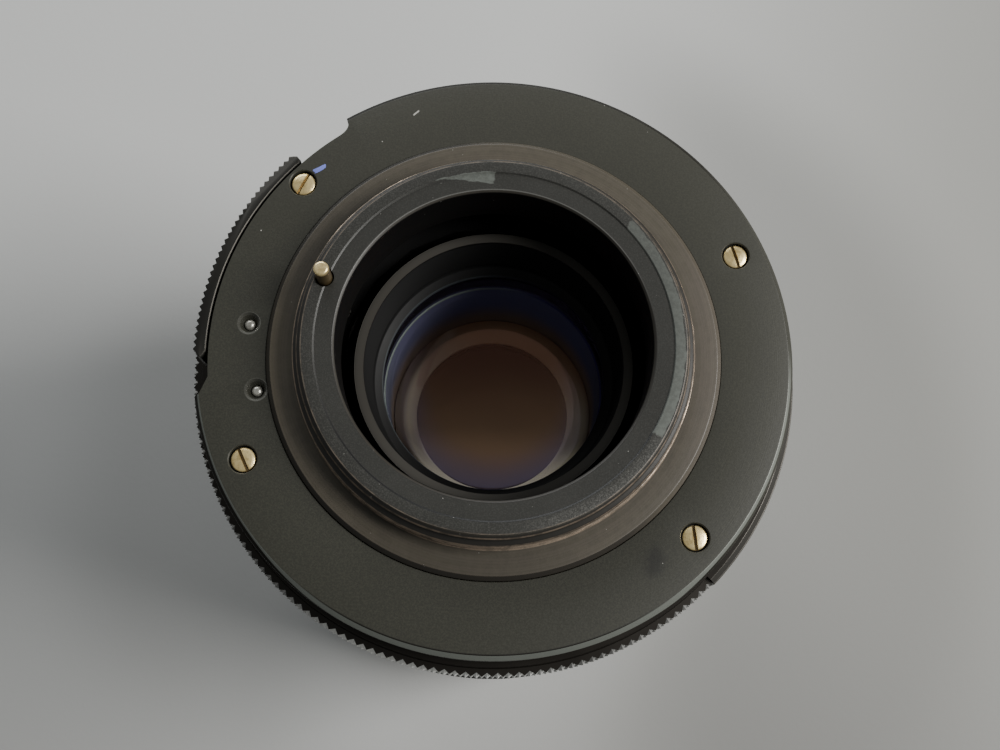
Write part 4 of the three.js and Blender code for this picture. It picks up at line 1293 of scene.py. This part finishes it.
def floor_material():
    """The table, with the broad soft shadows that lie round the lens."""
    s = Shader("pale_table")
    x, y, _, radius, _ = s.axes()
    # painted shade: the table darker towards the right, and painted shadows beside the lens on both sides and
    # below it
    side = (x - y * 0.25).ramp(-25.0, 95.0)
    right = radius.near(62.0, 14.0, 26.0) * x.ramp(5.0, 45.0)
    left = radius.near(50.0, 12.0, 22.0) * x.ramp(-22.0, -42.0) * y.near(-5.0, 22.0, 24.0)
    below = y.ramp(20.0, -95.0).less(x.near(4.0, 10.0, 34.0) * 0.45)
    shade = s.over(
        s.mix(s.noise(9, 3), (0.455, 0.46, 0.455), (0.50, 0.505, 0.495)),
        (side, (0.262, 0.262, 0.246)),
        (right * 0.42, (0.12, 0.12, 0.112)),
        (left * 0.26, (0.15, 0.15, 0.145)),
        (below * 0.90, (0.175, 0.175, 0.168)),
    )
    s.bump(s.noise(900, 3), 0.02)
    return s.finish(shade, 0.6, 0.0, 0.3)


def stage_floor():
    half = 1500.0
    corners = [(x, y, RIM_Z) for x, y in ((-half, -half), (half, -half), (half, half), (-half, half))]
    floor = make_object("table", corners, [[0, 1, 2, 3]], floor_material())


def area_light(name, place, target, size, power, colour):
    data = bpy.data.lights.new(name, "AREA")
    data.shape = "RECTANGLE"
    data.size, data.size_y = size
    data.energy = power
    data.color = colour
    lamp = in_scene(name, data)
    lamp.location = place
    lamp.rotation_mode = "QUATERNION"
    lamp.rotation_quaternion = (Vector(target) - Vector(place)).to_track_quat("-Z", "Y")


def stage_lights():
    aim = (0, 0, 0.06)
    area_light("window", (0.56, -0.01, 0.55), aim, (0.36, 0.36), 9.0, (1.0, 0.985, 0.96))
    area_light("wall", (-0.30, 1.0, 0.50), aim, (1.0, 0.5), 9.6, (0.97, 0.99, 1.0))
    world = bpy.data.worlds.new("room")
    world.use_nodes = True
    background = world.node_tree.nodes["Background"]
    background.inputs["Color"].default_value = (0.82, 0.84, 0.84, 1)
    background.inputs["Strength"].default_value = 0.24
    bpy.context.scene.world = world


CAMERA = {
    "place": (0.18, -32.66, PLATE_Z + 117.39),
    "right": (0.99925, 0.03610, 0.01385),
    "up": (-0.03841, 0.96796, 0.24815),
    "back": (-0.00445, -0.24849, 0.96862),
    "lens": 41.4,
}


def stage_camera():
    data = bpy.data.cameras.new("camera")
    data.sensor_width = 36.0
    data.lens = CAMERA["lens"]
    data.clip_start = 0.01
    camera = in_scene("camera", data)
    turn = Matrix((CAMERA["right"], CAMERA["up"], CAMERA["back"])).transposed().to_quaternion()
    camera.rotation_mode = "QUATERNION"
    camera.rotation_quaternion = turn
    camera.location = Vector(CAMERA["place"]) * MM
    bpy.context.scene.camera = camera


stage_floor()
stage_lights()
stage_camera()
